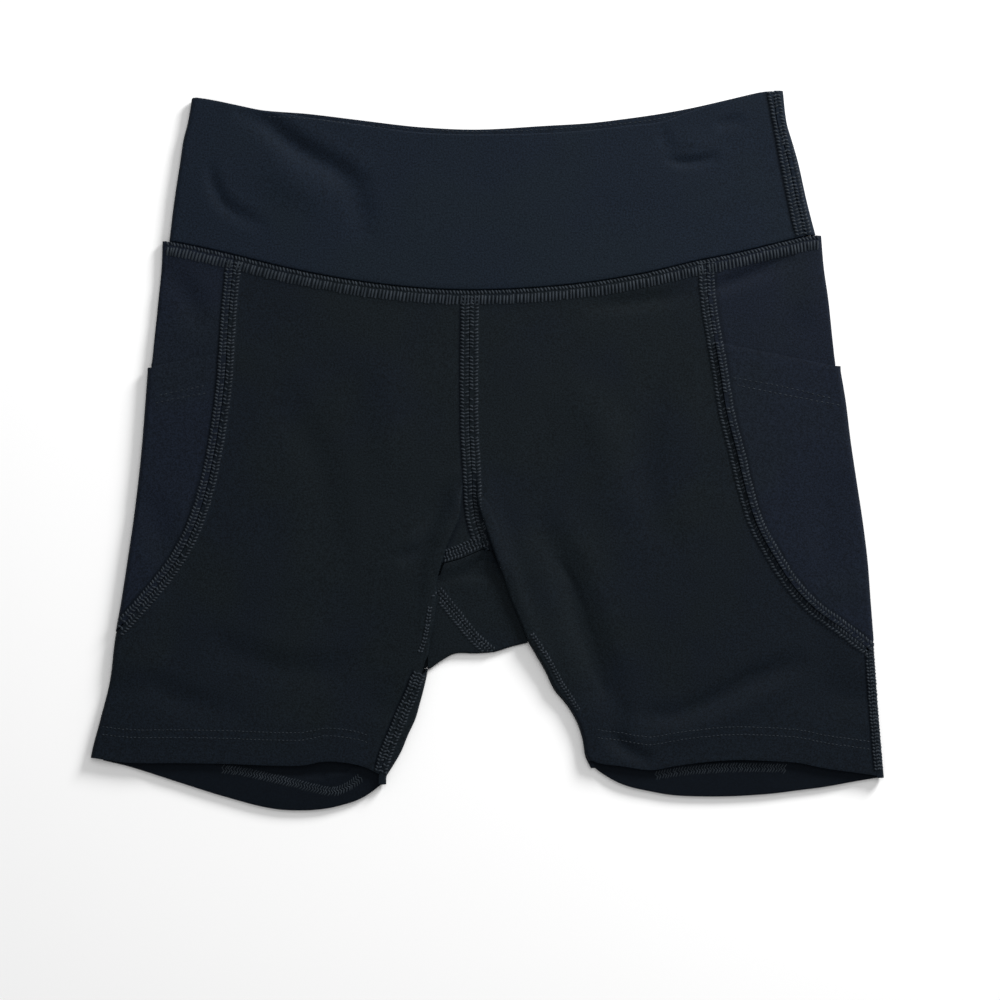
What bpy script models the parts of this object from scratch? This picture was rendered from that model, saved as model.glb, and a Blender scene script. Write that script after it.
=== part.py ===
"""Cycling shorts laid flat, face up, waist towards +Y: eleven cut pieces, each one closed solid of cloth.

The garment is a flattened tube. The back lies on the ground, the front lies on it, and the
pieces roll round the outer and inner folds. Tables are in millimetres and the finished meshes in
metres. Left and right are as seen from above. The origin is under the middle of the outline.
"""

from collections import namedtuple
from math import cos, pi, sin

import bmesh
import bpy
import numpy as np

MM = 0.001
CENTRE = (-0.4, -0.5, 0.0)  # the middle of the outline in the tables' own frame
CLOTH = 1.1  # wall of the knit
BAND_CLOTH = 2.0  # the waistband is doubled
HEM_CLOTH = 2.2  # turned hems are doubled
HEM_DEPTH = 18.0
HEM_STEP = 0.6  # run over which a hem's wall thickens
GAP = 0.3  # between neighbouring pieces
EASE = GAP / 2

FRONT_TOP = 4.2  # heights of the front's outer face above the ground
BAND_TOP = 5.2
HEM_TOP = 4.9
TIP_TOP = 5.6
CROTCH_TOP = 5.4
MIDDLE_TOP = 2.5  # outer face of what lies between front and back at the crotch

PANEL_LIFT = CLOTH + GAP  # the side panel lies this far above the pocket that wraps under it
POCKET_TOP = FRONT_TOP + PANEL_LIFT
POCKET_STANDS_OUT = 2.2
POCKET_MOUTH_SLOPE = 0.2  # rise of the opening for each unit in from the fold
POCKET_MOUTH_Y = 43.5  # the opening's height at the fold
SEAM_IN_FOLD = 0.05  # least flat beside a fold that a seam leaves
TURN_RADIUS = 1.25  # the small roll of an edge that turns under
TURN_FLAP = 4.0
ARC_STEPS = 5

LEFT, RIGHT = -1, 1

Fold = namedtuple("Fold", "y left right")
# The outer folds, from the waist seam to the hem. The two rows at 46 and 42 are the pocket's opening.
OUTER = [
    Fold(115, -171.0, 175.0),
    Fold(95, -171.7, 176.7),
    Fold(79, -173.3, 179.0),
    Fold(58, -175.4, 181.1),
    Fold(46, -176.6, 182.4),
    Fold(42, -178.9, 185.3),
    Fold(26, -180.1, 188.0),
    Fold(5, -181.7, 190.6),
    Fold(-16, -183.8, 193.7),
    Fold(-37, -186.4, 196.9),
    Fold(-58, -189.5, 199.5),
    Fold(-79, -192.7, 201.1),
    Fold(-100, -196.4, 202.7),
    Fold(-121, -199.0, 204.2),
    Fold(-142, -204.2, 205.8),
    Fold(-161, -209.0, 207.4),
    Fold(-172, -210.0, 208.4),
]
BAND_SIDES = [
    Fold(189, -155.0, 155.0),
    Fold(171, -158.0, 157.2),
    Fold(163, -160.1, 159.6),
    Fold(152, -161.7, 162.8),
    Fold(131, -164.9, 167.5),
    Fold(108, -167.7, 173.4),
]
# The inner folds of the legs, from the gusset down.
INNER = [
    Fold(-51, -19.0, 1.6),
    Fold(-59, -23.6, 5.3),
    Fold(-67, -26.3, 8.5),
    Fold(-77, -26.8, 11.4),
    Fold(-90, -28.0, 17.0),
    Fold(-101, -30.5, 21.5),
    Fold(-115, -31.5, 29.7),
    Fold(-125, -33.6, 34.7),
    Fold(-133, -35.7, 41.5),
    Fold(-142, -38.3, 46.8),
    Fold(-150, -42.0, 49.4),
    Fold(-159, -45.7, 51.0),
    Fold(-164, -48.5, 53.5),
    Fold(-172, -53.5, 58.0),
]
# The curved seams between side panels and leg panels, on the front and underneath.
FRONT_CURVES = [
    Fold(112, -132.0, 114.2),
    Fold(80, -135.4, 115.5),
    Fold(58, -137.0, 118.9),
    Fold(42, -137.8, 121.7),
    Fold(20, -140.2, 125.2),
    Fold(-3, -144.0, 131.0),
    Fold(-21, -148.0, 135.3),
    Fold(-39, -153.8, 141.0),
    Fold(-56, -162.3, 150.2),
    Fold(-72, -174.0, 160.8),
    Fold(-85, -185.2, 173.6),
    Fold(-92, -191.7, 183.6),
    Fold(-105, -205.0, 200.5),
    Fold(-125, -226.0, 226.5),
]
BACK_CURVES = [
    Fold(112, -110.0, 136.0),
    Fold(58, -113.0, 140.0),
    Fold(20, -119.0, 145.0),
    Fold(-21, -133.0, 155.0),
    Fold(-39, -142.0, 163.0),
    Fold(-56, -154.0, 173.0),
    Fold(-72, -167.0, 184.0),
    Fold(-85, -179.0, 194.0),
    Fold(-92, -185.0, 199.0),
    Fold(-100, -191.5, 206.0),
    Fold(-125, -222.0, 232.0),
]

Run = namedtuple("Run", "x y")
WAIST_SEAM = [
    Run(-180, 109.4),
    Run(-166, 109.4),
    Run(-160, 108.4),
    Run(-135, 102.9),
    Run(-105, 95.6),
    Run(-72, 89.3),
    Run(-36, 85.1),
    Run(-9, 84.0),
    Run(22, 85.1),
    Run(54, 88.2),
    Run(85, 93.5),
    Run(109, 99.2),
    Run(130, 103.4),
    Run(152, 108.7),
    Run(170, 112.6),
    Run(180, 112.6),
]
BACK_SEAM_RISE = 3.0  # how much higher the waist seam lies behind, at the middle
GUSSET_SEAM = [
    Run(-23.6, -59.3),
    Run(-14.2, -56.7),
    Run(-6.3, -53.4),
    Run(-2.5, -52.0),
    Run(1.8, -52.8),
]
CROTCH_FOLD = [
    Run(-31.0, -115.5),
    Run(-24.0, -110.6),
    Run(-17.9, -107.4),
    Run(-6.3, -107.1),
    Run(3.0, -106.3),
    Run(12.6, -103.4),
    Run(21.5, -101.3),
]
# The seam between the gusset and the left back panel, where that panel rolls up over the crotch.
DIAGONAL_SEAM = [
    Run(-31.0, -70.5),
    Run(-24.8, -77.2),
    Run(-18.4, -84.5),
    Run(-12.6, -91.9),
    Run(-7.4, -98.2),
    Run(0.0, -104.0),
    Run(4.0, -107.4),
]

Top = namedtuple("Top", "x front back")
BAND_EDGE = [
    Top(-155.0, 185.3, 185.3),
    Top(-145.0, 183.8, 183.9),
    Top(-132.0, 181.1, 181.3),
    Top(-119.7, 178.4, 178.9),
    Top(-94.5, 174.6, 176.8),
    Top(-69.3, 171.0, 173.7),
    Top(-34.0, 166.5, 169.7),
    Top(-5.0, 165.6, 168.6),
    Top(31.0, 166.4, 170.6),
    Top(53.6, 168.0, 172.0),
    Top(73.5, 170.3, 174.4),
    Top(91.4, 172.4, 177.0),
    Top(107.0, 178.0, 179.9),
    Top(120.0, 182.2, 182.8),
    Top(132.0, 185.3, 185.6),
    Top(145.0, 188.1, 188.2),
    Top(155.0, 188.6, 188.6),
]
Hem = namedtuple("Hem", "x front back")
LEFT_HEM = [
    Hem(-210.0, -161.0, -161.0),
    Hem(-201.6, -162.6, -163.3),
    Hem(-189.0, -164.1, -166.3),
    Hem(-163.8, -164.3, -174.3),
    Hem(-138.6, -164.7, -182.2),
    Hem(-113.4, -165.6, -188.5),
    Hem(-97.7, -165.6, -189.5),
    Hem(-85.6, -163.5, -188.6),
    Hem(-78.0, -163.8, -187.0),
    Hem(-66.0, -166.0, -182.8),
    Hem(-57.0, -170.0, -176.5),
    Hem(-52.0, -172.0, -172.0),
]
RIGHT_HEM = [
    Hem(52.5, -162.2, -164.0),
    Hem(58.0, -164.3, -168.6),
    Hem(69.8, -165.9, -175.4),
    Hem(86.0, -168.0, -179.6),
    Hem(96.6, -166.2, -181.4),
    Hem(109.7, -164.3, -182.1),
    Hem(128.6, -162.8, -182.0),
    Hem(149.6, -163.3, -180.6),
    Hem(163.3, -164.3, -178.9),
    Hem(176.4, -167.0, -177.2),
    Hem(194.8, -169.6, -173.9),
    Hem(209.0, -171.6, -171.6),
]

Seam = namedtuple("Seam", "y x")
CENTRE_FRONT = [
    Seam(90, -9.5),
    Seam(12, -9.7),
    Seam(-14, -8.4),
    Seam(-30, -7.6),
    Seam(-41, -5.5),
    Seam(-46, -3.6),
    Seam(-53, -2.4),
]
CENTRE_BACK = [
    Seam(95, 8.5),
    Seam(10, 8.5),
    Seam(-50, 12.5),
    Seam(-90, 18.0),
]
# The left inseam, from the fold down to the hem. It crosses the fold at the first row.
LEFT_INSEAM = [
    Seam(-110, -32.6),
    Seam(-118, -35.2),
    Seam(-128, -40.4),
    Seam(-139, -45.5),
    Seam(-149, -49.4),
    Seam(-159, -53.0),
    Seam(-171, -57.5),
]

# How far each edge is rolled, in half turns, and how long its flap is, by height on the garment.
Roll = namedtuple("Roll", "y half_turns flap")
EDGE_LIP = 0.12  # a straight end on a part turn, so that its edge is square
LEFT_LIP = [
    Roll(-62, 0.0, 0.0),
    Roll(-73, 1.0, 0.0),
    Roll(-84, 1.0, TURN_FLAP),
    Roll(-98, 1.0, TURN_FLAP),
    Roll(-104, 1.0, 0.0),
    Roll(-110, 0.0, 0.0),
]
RIGHT_LIP = [
    Roll(-54, 0.0, 0.0),
    Roll(-66, 1.0, 0.0),
    Roll(-78, 1.0, TURN_FLAP),
    Roll(-90, 1.0, TURN_FLAP),
    Roll(-95, 1.0, 0.0),
    Roll(-100, 0.5, EDGE_LIP),
]
CURVE_BREAK = -40.0  # the curved seams bend more from here down, so their rows lie closer
CURVE_ROWS = (8, 8, 3)  # down to the break, down to the tip, and round the fold
SIDE_SEAM_INSET = 4.0  # the hidden left side seam, in from the start of the fold's flat
RIGHT_SEAM_INSET = 1.3
LEFT_TIP = (-92.0, -100.0)  # where the left seams pass round the fold, first and last
RIGHT_TIP = (-94.0, -106.0)
TIP_ROOM = 2.0  # a leg panel's wrap is whole this far below the end of the side panel's tip
BAND_SEAM_LEFT = 5.0  # how far the band's side seams lie in from the folds
BAND_SEAM_RIGHT = 2.6

# Where the front rises a little: the reach at full height, and the reach at which it is level again.
Rise = namedtuple("Rise", "full none")
CROTCH_X = -5.0
CROTCH_ACROSS = Rise(30, 75)
CROTCH_ABOVE = Rise(-68, -20)
CROTCH_BELOW = Rise(-112, -145)
HEM_RISE = Rise(HEM_DEPTH + 2, HEM_DEPTH + 27)
TIP_ACROSS = Rise(10, 32)
TIP_ALONG = Rise(12, 34)
GUSSET_DROP = Rise(11, 1)  # below its front seam
PANEL_INTO_POCKET = Rise(42.5, 45)  # where the side panel narrows to fit in the pocket's fold
PANEL_ONTO_POCKET = Rise(56, 74)  # where it lifts off the ground for the pocket's back layer

HEM_CORNER_Y = {LEFT: -161.0, RIGHT: -171.0}  # the outer corners of the hems
WRAP_HEM_Y = {LEFT: -150.0, RIGHT: -145.0}  # the wrapped edges of the backs are hems below this
INSEAM_HEM_X = -57.6
LEFT_FOLD_HEM_X = -56.5
RIGHT_FOLD_HEM_X = 53.5
SEAM_END_LEFT = -52.0  # where the centre front seam ends, on the two fronts
SEAM_END_RIGHT = -51.8
GUSSET_LEFT_X = -23.8  # ends of the gusset's front seam
GUSSET_RIGHT_X = 1.8
GUSSET_SEAM_GAP = 0.5  # below the seam's line, because the gusset slopes away from it
GUSSET_EASE = 0.9  # its side edges, in from the leg folds where the gusset is still high
GUSSET_REACH = TURN_FLAP + GUSSET_EASE + 1.0  # lower down they lie hidden between the layers
GUSSET_SPREAD = {LEFT: Rise(-71, -65), RIGHT: Rise(-66, -58)}  # where they run out that far
GUSSET_NARROWS = Rise(-98, -93)  # and where the right one comes back
GUSSET_NARROWED = 0.9
GUSSET_END_INSET = 1.0  # each end of the front seam, in from the seam's own
GUSSET_BASE_RIGHT = 0.6  # the gusset's lower right corner, in from the end of the crotch fold
GUSSET_TIP_DROP = 1.5  # the gusset's point underneath, below the backs' tip
CROTCH_LEFT = -30.0
CROTCH_MIDDLE = 3.0
BACK_TIP = Run(18.0, -90.0)  # where the two backs and the gusset meet underneath
CROTCH_BASE_RIGHT = -101.0
INSEAM_CROSSING = (-104.0, -112.0)  # the left inseam passes from the fold onto the front
LEG_BELOW_CROTCH = {LEFT: 1.0, RIGHT: 4.0}  # from the crotch's fold down to the legs' own
FOLD_START = 3.0  # run over which a fold grows to its full turn

BAND_ROWS = 6
BAND_COLUMNS = 22
SIDE_COLUMNS = 4  # across a side panel or a pocket
SEAM_ROWS = 10  # down the centre seam, on the fronts and the right back
GUSSET_ROWS = {LEFT: 4, RIGHT: 1}
BACK_SEAM_ROWS = (8, 2)  # down the centre back seam, and on to the crotch
CROTCH_ROWS = 8
LEG_ROWS = 5  # the outer edge, from the panel tip to the hem
# Rows down the inner folds of the legs.
FRONT_FOLD_ROWS = {LEFT: 10, RIGHT: 13}
BACK_FOLD_ROWS = {LEFT: 5, RIGHT: 12}
HEM_ROWS = 2
LEG_COLUMNS = 8
FLAP_COLUMNS = 6
GUSSET_COLUMNS = 6
GUSSET_SIDE_ROWS = 4  # down the gusset's left edge to its corner
DIAGONAL_ROWS = 7
UNDER_COLUMNS = 4
ON_GROUND = 0.1
FLAP_TURN = 0.9 * pi  # a fold turned less than this has no flap

KNIT = (0.010, 0.013, 0.018)
KNIT_BAND = (0.012, 0.016, 0.022)


def smooth(table, key, value, sharp=()):
    """The column `value` as a smooth function of the column `key`, with corners at the keys in `sharp`."""
    rows = sorted(table, key=lambda row: getattr(row, key))
    places = [getattr(row, key) for row in rows]
    values = [getattr(row, value) for row in rows]
    slopes = [
        (values[i + 1] - values[i]) / (places[i + 1] - places[i])
        for i in range(len(rows) - 1)
    ]

    def slope(i, from_right):
        after = slopes[min(i, len(slopes) - 1)]
        before = slopes[max(i - 1, 0)]
        if places[i] in sharp:
            return after if from_right else before
        return (before + after) / 2

    def at(place):
        place = min(max(place, places[0]), places[-1])
        i = min(int(np.searchsorted(places, place, "right")) - 1, len(places) - 2)
        span = places[i + 1] - places[i]
        t = (place - places[i]) / span
        return (
            values[i] * (1 + 2 * t) * (1 - t) ** 2
            + values[i + 1] * t * t * (3 - 2 * t)
            + slope(i, True) * span * t * (1 - t) ** 2
            - slope(i + 1, False) * span * t * t * (1 - t)
        )

    return at


def ramp(value, start, end):
    """0 at start, 1 at end, with level ends."""
    t = min(max((value - start) / (end - start), 0.0), 1.0)
    return t * t * (3 - 2 * t)


def rise(value, between):
    return ramp(value, between.none, between.full)


OPENING_ROWS = (46, 42)
outer = {
    LEFT: smooth(OUTER, "y", "left", OPENING_ROWS),
    RIGHT: smooth(OUTER, "y", "right", OPENING_ROWS),
}
band_side = {LEFT: smooth(BAND_SIDES, "y", "left"), RIGHT: smooth(BAND_SIDES, "y", "right")}
inner = {LEFT: smooth(INNER, "y", "left"), RIGHT: smooth(INNER, "y", "right")}
front_curve = {
    LEFT: smooth(FRONT_CURVES, "y", "left"),
    RIGHT: smooth(FRONT_CURVES, "y", "right"),
}
back_curve = {LEFT: smooth(BACK_CURVES, "y", "left"), RIGHT: smooth(BACK_CURVES, "y", "right")}
front_waist = smooth(WAIST_SEAM, "x", "y")
gusset_seam = smooth(GUSSET_SEAM, "x", "y")
crotch_fold = smooth(CROTCH_FOLD, "x", "y")
diagonal_seam = smooth(DIAGONAL_SEAM, "x", "y")
band_front_edge = smooth(BAND_EDGE, "x", "front")
band_back_edge = smooth(BAND_EDGE, "x", "back")
front_hem = {LEFT: smooth(LEFT_HEM, "x", "front"), RIGHT: smooth(RIGHT_HEM, "x", "front")}
back_hem = {LEFT: smooth(LEFT_HEM, "x", "back"), RIGHT: smooth(RIGHT_HEM, "x", "back")}
centre_front = smooth(CENTRE_FRONT, "y", "x")
centre_back = smooth(CENTRE_BACK, "y", "x")
left_inseam = smooth(LEFT_INSEAM, "y", "x")


def back_waist(x):
    return front_waist(x) + BACK_SEAM_RISE * max(0.0, 1 - (x / outer[RIGHT](100)) ** 2)


def front_top(x, y):
    """Height of the front's outer face: a little higher over the crotch, the hems and the panel tips."""
    crotch = (
        rise(abs(x - CROTCH_X), CROTCH_ACROSS) * rise(y, CROTCH_ABOVE) * rise(y, CROTCH_BELOW)
    )
    hem_line = front_hem[LEFT if x < 0 else RIGHT](x)
    hem = rise(y - hem_line, HEM_RISE)
    tip = max(
        rise(abs(x - outer[side](y)), TIP_ACROSS) * rise(abs(y - middle), TIP_ALONG)
        for side, middle in ((LEFT, sum(LEFT_TIP) / 2), (RIGHT, sum(RIGHT_TIP) / 2))
    )
    rises = (
        (CROTCH_TOP - FRONT_TOP) * crotch,
        (HEM_TOP - FRONT_TOP) * hem,
        (TIP_TOP - FRONT_TOP) * tip,
    )
    return FRONT_TOP + max(rises)


def gusset_top(x, y):
    """Height of the gusset: level with the fronts at their seam, then down between the layers."""
    drop = rise(gusset_seam(x) - y, GUSSET_DROP)
    return front_top(x, y) * (1 - drop) + MIDDLE_TOP * drop


def chain(*stretches):
    """Rows of an edge: each stretch is a count of steps and a function of 0 to 1 that gives x and y."""
    points = [stretches[0][1](0.0)]
    for steps, place in stretches:
        points += [place((step + 1) / steps) for step in range(steps)]
    return np.array(points)


def down_line(start, end, x_of_y):
    """A stretch that runs down a line x(y)."""

    def place(t):
        y = start + (end - start) * t
        return (x_of_y(y), y)

    return place


def across_line(start, end, y_of_x):
    """A stretch that runs along a line y(x)."""

    def place(t):
        x = start + (end - start) * t
        return (x, y_of_x(x))

    return place


def straight(start, end):
    def place(t):
        return (start.x + (end.x - start.x) * t, start.y + (end.y - start.y) * t)

    return place


def down_to_hem(x_end, hem, start, x_of_y):
    """Stretches down to a hem: the panel, the step where the hem's second layer starts, and the hem."""
    end = hem(x_end)
    top = end + HEM_DEPTH
    return (
        down_line(start, top, x_of_y),
        down_line(top, top - HEM_STEP, x_of_y),
        down_line(top - HEM_STEP, end, x_of_y),
    )


def sheet(left, right, top, bottom, columns, height):
    """Points of a sheet between two edges of equal rows; top and bottom are functions y(x)."""
    rows = len(left) - 1
    steps = np.linalg.norm(np.diff(left, axis=0), axis=1)
    along = np.concatenate([[0], np.cumsum(steps)]) / max(steps.sum(), 1e-9)
    points = np.empty((rows + 1, columns + 1, 3))
    for row in range(rows + 1):
        down = along[row]
        for column in range(columns + 1):
            across = column / columns
            x, y = left[row] * (1 - across) + right[row] * across
            for line, weight, end in ((top, 1 - down, 0), (bottom, down, rows)):
                if line is None:
                    continue
                end_x, end_y = left[end] * (1 - across) + right[end] * across
                y += (line(end_x) - end_y) * weight**2
            points[row, column] = (x, y, height(x, y))
    return points


def rolled(starts, outward, radii, turns, flaps, rise, flap_steps=2):
    """Points of an edge that rolls over: an arc of each row's own turn and then a straight flap.

    rise is -1 where the roll goes down from the top and 1 where it comes up from the ground.
    """
    points = np.empty((len(starts), ARC_STEPS + flap_steps + 1, 3))
    away = np.array((*outward, 0.0))
    up = np.array((0.0, 0.0, rise))
    for row, start in enumerate(starts):
        for step in range(ARC_STEPS + 1):
            turn = turns[row] * step / ARC_STEPS
            points[row, step] = start + radii[row] * (away * sin(turn) + up * (1 - cos(turn)))
        heading = away * cos(turns[row]) + up * sin(turns[row])
        for step in range(flap_steps):
            length = flaps[row] * (step + 1) / flap_steps
            points[row, ARC_STEPS + 1 + step] = points[row, ARC_STEPS] + heading * length
    return points


def add_patch(mesh, points):
    """Adds a grid and moves its vertices to the points, rows down and columns across."""
    rows, columns = points.shape[0] - 1, points.shape[1] - 1
    grid = bmesh.ops.create_grid(mesh, x_segments=columns, y_segments=rows, size=0.5)
    for vertex in grid["verts"]:
        column = round((vertex.co.x + 0.5) * columns)
        row = round((vertex.co.y + 0.5) * rows)
        vertex.co = (points[row, column] - CENTRE) * MM


def make_piece(name, patches, wall, colour, hem=None):
    """One cut piece: its patches welded into one open surface, then thickened inwards."""
    surface = bmesh.new()
    for points in patches:
        add_patch(surface, points)
    bmesh.ops.remove_doubles(surface, verts=surface.verts, dist=0.02 * MM)
    bmesh.ops.recalc_face_normals(surface, faces=surface.faces)
    lowest = min(surface.faces, key=lambda face: face.calc_center_median().z)
    highest = max(surface.faces, key=lambda face: face.calc_center_median().z)
    on_ground = lowest.calc_center_median().z < CLOTH * MM
    faces_in = lowest.normal.z > 0 if on_ground else highest.normal.z < 0
    if faces_in:
        bmesh.ops.reverse_faces(surface, faces=surface.faces)
    mesh = bpy.data.meshes.new(name)
    surface.to_mesh(mesh)
    surface.free()
    mesh.shade_smooth()
    piece = bpy.data.objects.new(name, mesh)
    bpy.data.collections["cycling_shorts"].objects.link(piece)
    mesh.materials.append(cloth_material(name, colour))
    thicken = piece.modifiers.new("wall", "SOLIDIFY")
    thicken.offset = -1
    thicken.thickness = wall * MM
    if hem:
        group = piece.vertex_groups.new(name="hem")
        doubled = [v.index for v in mesh.vertices if hem(*(np.array(v.co) / MM + CENTRE))]
        group.add(doubled, 1.0, "REPLACE")
        thicken.thickness = HEM_CLOTH * MM
        thicken.vertex_group = group.name
        thicken.thickness_vertex_group = wall / HEM_CLOTH
    return piece


def cloth_material(name, colour):
    material = bpy.data.materials.new(name + "_cloth")
    material.use_nodes = True
    shader = material.node_tree.nodes["Principled BSDF"]
    shader.inputs["Base Color"].default_value = (*colour, 1)
    shader.inputs["Roughness"].default_value = 0.75
    shader.inputs["Metallic"].default_value = 0.0
    material.diffuse_color = (*colour, 1)
    return material


def ground(x, y):
    return 0.0


def waistband(name):
    """Half of the doubled band: the front half wraps the left fold, the back half the right fold."""
    front = name == "waistband_front"
    fold = LEFT if front else RIGHT
    radius = BAND_TOP / 2
    edge = band_front_edge if front else band_back_edge
    seam = (lambda x: front_waist(x) + EASE) if front else (lambda x: back_waist(x) + EASE)
    other = (lambda x: back_waist(x) + EASE) if front else (lambda x: front_waist(x) + EASE)
    height = (lambda x, y: BAND_TOP) if front else ground
    # Where this half ends on the far side: short of the fold in front, and past the fold behind.
    far_inset = radius + BAND_SEAM_RIGHT + EASE if front else radius + BAND_SEAM_LEFT + EASE
    flap = (BAND_SEAM_LEFT if front else BAND_SEAM_RIGHT) - EASE

    def side_line(side, inset):
        x_of_y = lambda y: band_side[side](y) - side * inset
        top, bottom = meeting(x_of_y, edge), meeting(x_of_y, seam)
        return chain((BAND_ROWS, down_line(top, bottom, x_of_y)))

    near = side_line(fold, radius)
    far = side_line(-fold, far_inset)
    left, right = (near, far) if front else (far, near)
    flat = sheet(left, right, edge, seam, BAND_COLUMNS, height)
    rows = BAND_ROWS + 1
    near_points = flat[:, 0 if front else -1]
    roll = rolled(
        near_points,
        (fold, 0),
        [radius] * rows,
        [pi] * rows,
        [flap] * rows,
        -1 if front else 1,
    )
    for column in range(ARC_STEPS + 1, roll.shape[1]):
        # The far part's lower edge keeps to the waist seam of that side.
        x, y, z = roll[-1, column]
        roll[-1, column] = (x, max(y, other(x)), z)
    return make_piece(name, [flat, roll], BAND_CLOTH, KNIT_BAND)


def tip_rows(side, start, x_of_y, break_rows):
    """Stretches down a curved seam to its tip and round the fold, the same for every piece along it."""
    first, last = LEFT_TIP if side == LEFT else RIGHT_TIP
    return (
        (break_rows, down_line(start, CURVE_BREAK, x_of_y)),
        (CURVE_ROWS[1], down_line(CURVE_BREAK, first + 1, x_of_y)),
        (CURVE_ROWS[2], down_line(first + 1, last + 1, x_of_y)),
    )


def meeting(curve, upper):
    """The height at which a seam x(y) meets an upper line y(x)."""
    y = upper(curve(0))
    for _ in range(6):
        y = upper(curve(y))
    return y


def side_piece(name, side, low, high, fold_x, upper_front, upper_back, break_rows):
    """A side panel or its pocket: front part, roll round the outer fold, and the part underneath."""
    first, last = LEFT_TIP if side == LEFT else RIGHT_TIP
    radius = lambda y: (high(0, y) - low(0, y)) / 2
    tangent = lambda y: fold_x(y) - side * radius(y)
    fold = chain(*tip_rows(side, meeting(tangent, upper_front), tangent, break_rows))
    turns = [pi * (1 - ramp(y, first + 1, last + 1)) for _, y in fold]
    tip_row = break_rows + CURVE_ROWS[1]

    def seam_line(curve, upper, stretches):
        """Rows of a curved seam, kept just inside the fold's flat."""

        def x_of_y(y):
            x = curve(y) + side * EASE
            edge = tangent(y) - side * SEAM_IN_FOLD
            return min(x, edge) if side == RIGHT else max(x, edge)

        return chain(*tip_rows(side, meeting(x_of_y, upper), x_of_y, break_rows)[:stretches])

    def part(curve, upper, height, stretches):
        rows = len(fold) if stretches == len(CURVE_ROWS) else tip_row + 1
        seam = seam_line(curve, upper, stretches)
        return sheet(fold[:rows], seam, upper, None, SIDE_COLUMNS, height)

    # The seam passes round the left fold from the front to the back, and the right one the other way.
    top = part(front_curve[side], upper_front, high, 2 if side == LEFT else 3)
    under = part(back_curve[side], upper_back, low, 3 if side == LEFT else 2)
    base, met, rise = (under, top, 1) if side == LEFT else (top, under, -1)
    starts = base[:, 0]
    radii = [radius(y) for _, y in fold]
    roll = rolled(starts, (side, 0), radii, turns, [0] * len(fold), rise, flap_steps=0)
    met[:, 0] = roll[: tip_row + 1, -1]
    return make_piece(name, [top, under, roll], CLOTH, KNIT)


def make_side_panel(side):
    inset = lambda y: POCKET_STANDS_OUT * rise(y, PANEL_INTO_POCKET)
    fold_x = lambda y: outer[side](y) - side * inset(y)
    low = lambda x, y: PANEL_LIFT * rise(y, PANEL_ONTO_POCKET)
    high = lambda x, y: FRONT_TOP
    word = "left" if side == LEFT else "right"
    upper_front = lambda x: front_waist(x) - EASE
    upper_back = lambda x: back_waist(x) - EASE
    rows = CURVE_ROWS[0]
    side_piece("side_panel_" + word, side, low, high, fold_x, upper_front, upper_back, rows)


def make_pocket(side):
    word = "left" if side == LEFT else "right"
    stands_out_at = OPENING_ROWS[1]
    mouth = Run(outer[side](stands_out_at), POCKET_MOUTH_Y)
    fold_x = lambda y: outer[side](min(y, stands_out_at))
    opening = lambda x: mouth.y + abs(x - mouth.x) * POCKET_MOUTH_SLOPE
    behind = lambda x: mouth.y - abs(x - mouth.x) * POCKET_MOUTH_SLOPE / 2
    high = lambda x, y: POCKET_TOP
    rows = CURVE_ROWS[0] // 2 + 1
    side_piece("pocket_" + word, side, ground, high, fold_x, opening, behind, rows)


def outer_front_edge(side):
    """The front leg panel's outer edge: the curved seam, then the fold or the side seam near it."""

    def x_of_y(y):
        seam = front_curve[side](y) - side * EASE
        radius = front_top(outer[side](y), y) / 2
        inset = radius + (GAP if side == LEFT else RIGHT_SEAM_INSET + GAP + EASE)
        fold = outer[side](y) - side * inset
        return max(seam, fold) if side == LEFT else min(seam, fold)

    return x_of_y


def hem_test(hem, wrapped_below=0.0):
    """Whether a point lies in the doubled hem. Wrapped edges, off the ground, count only below a height."""

    def test(x, y, z):
        return y < hem(x) + HEM_DEPTH - HEM_STEP / 2 and (z < ON_GROUND or y < wrapped_below)

    return test


def from_rolls(y, rolls, column):
    """A column of a table of rolls at the height y."""
    places = sorted(rolls, key=lambda roll: roll.y)
    return float(np.interp(y, [r.y for r in places], [getattr(r, column) for r in places]))


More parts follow.
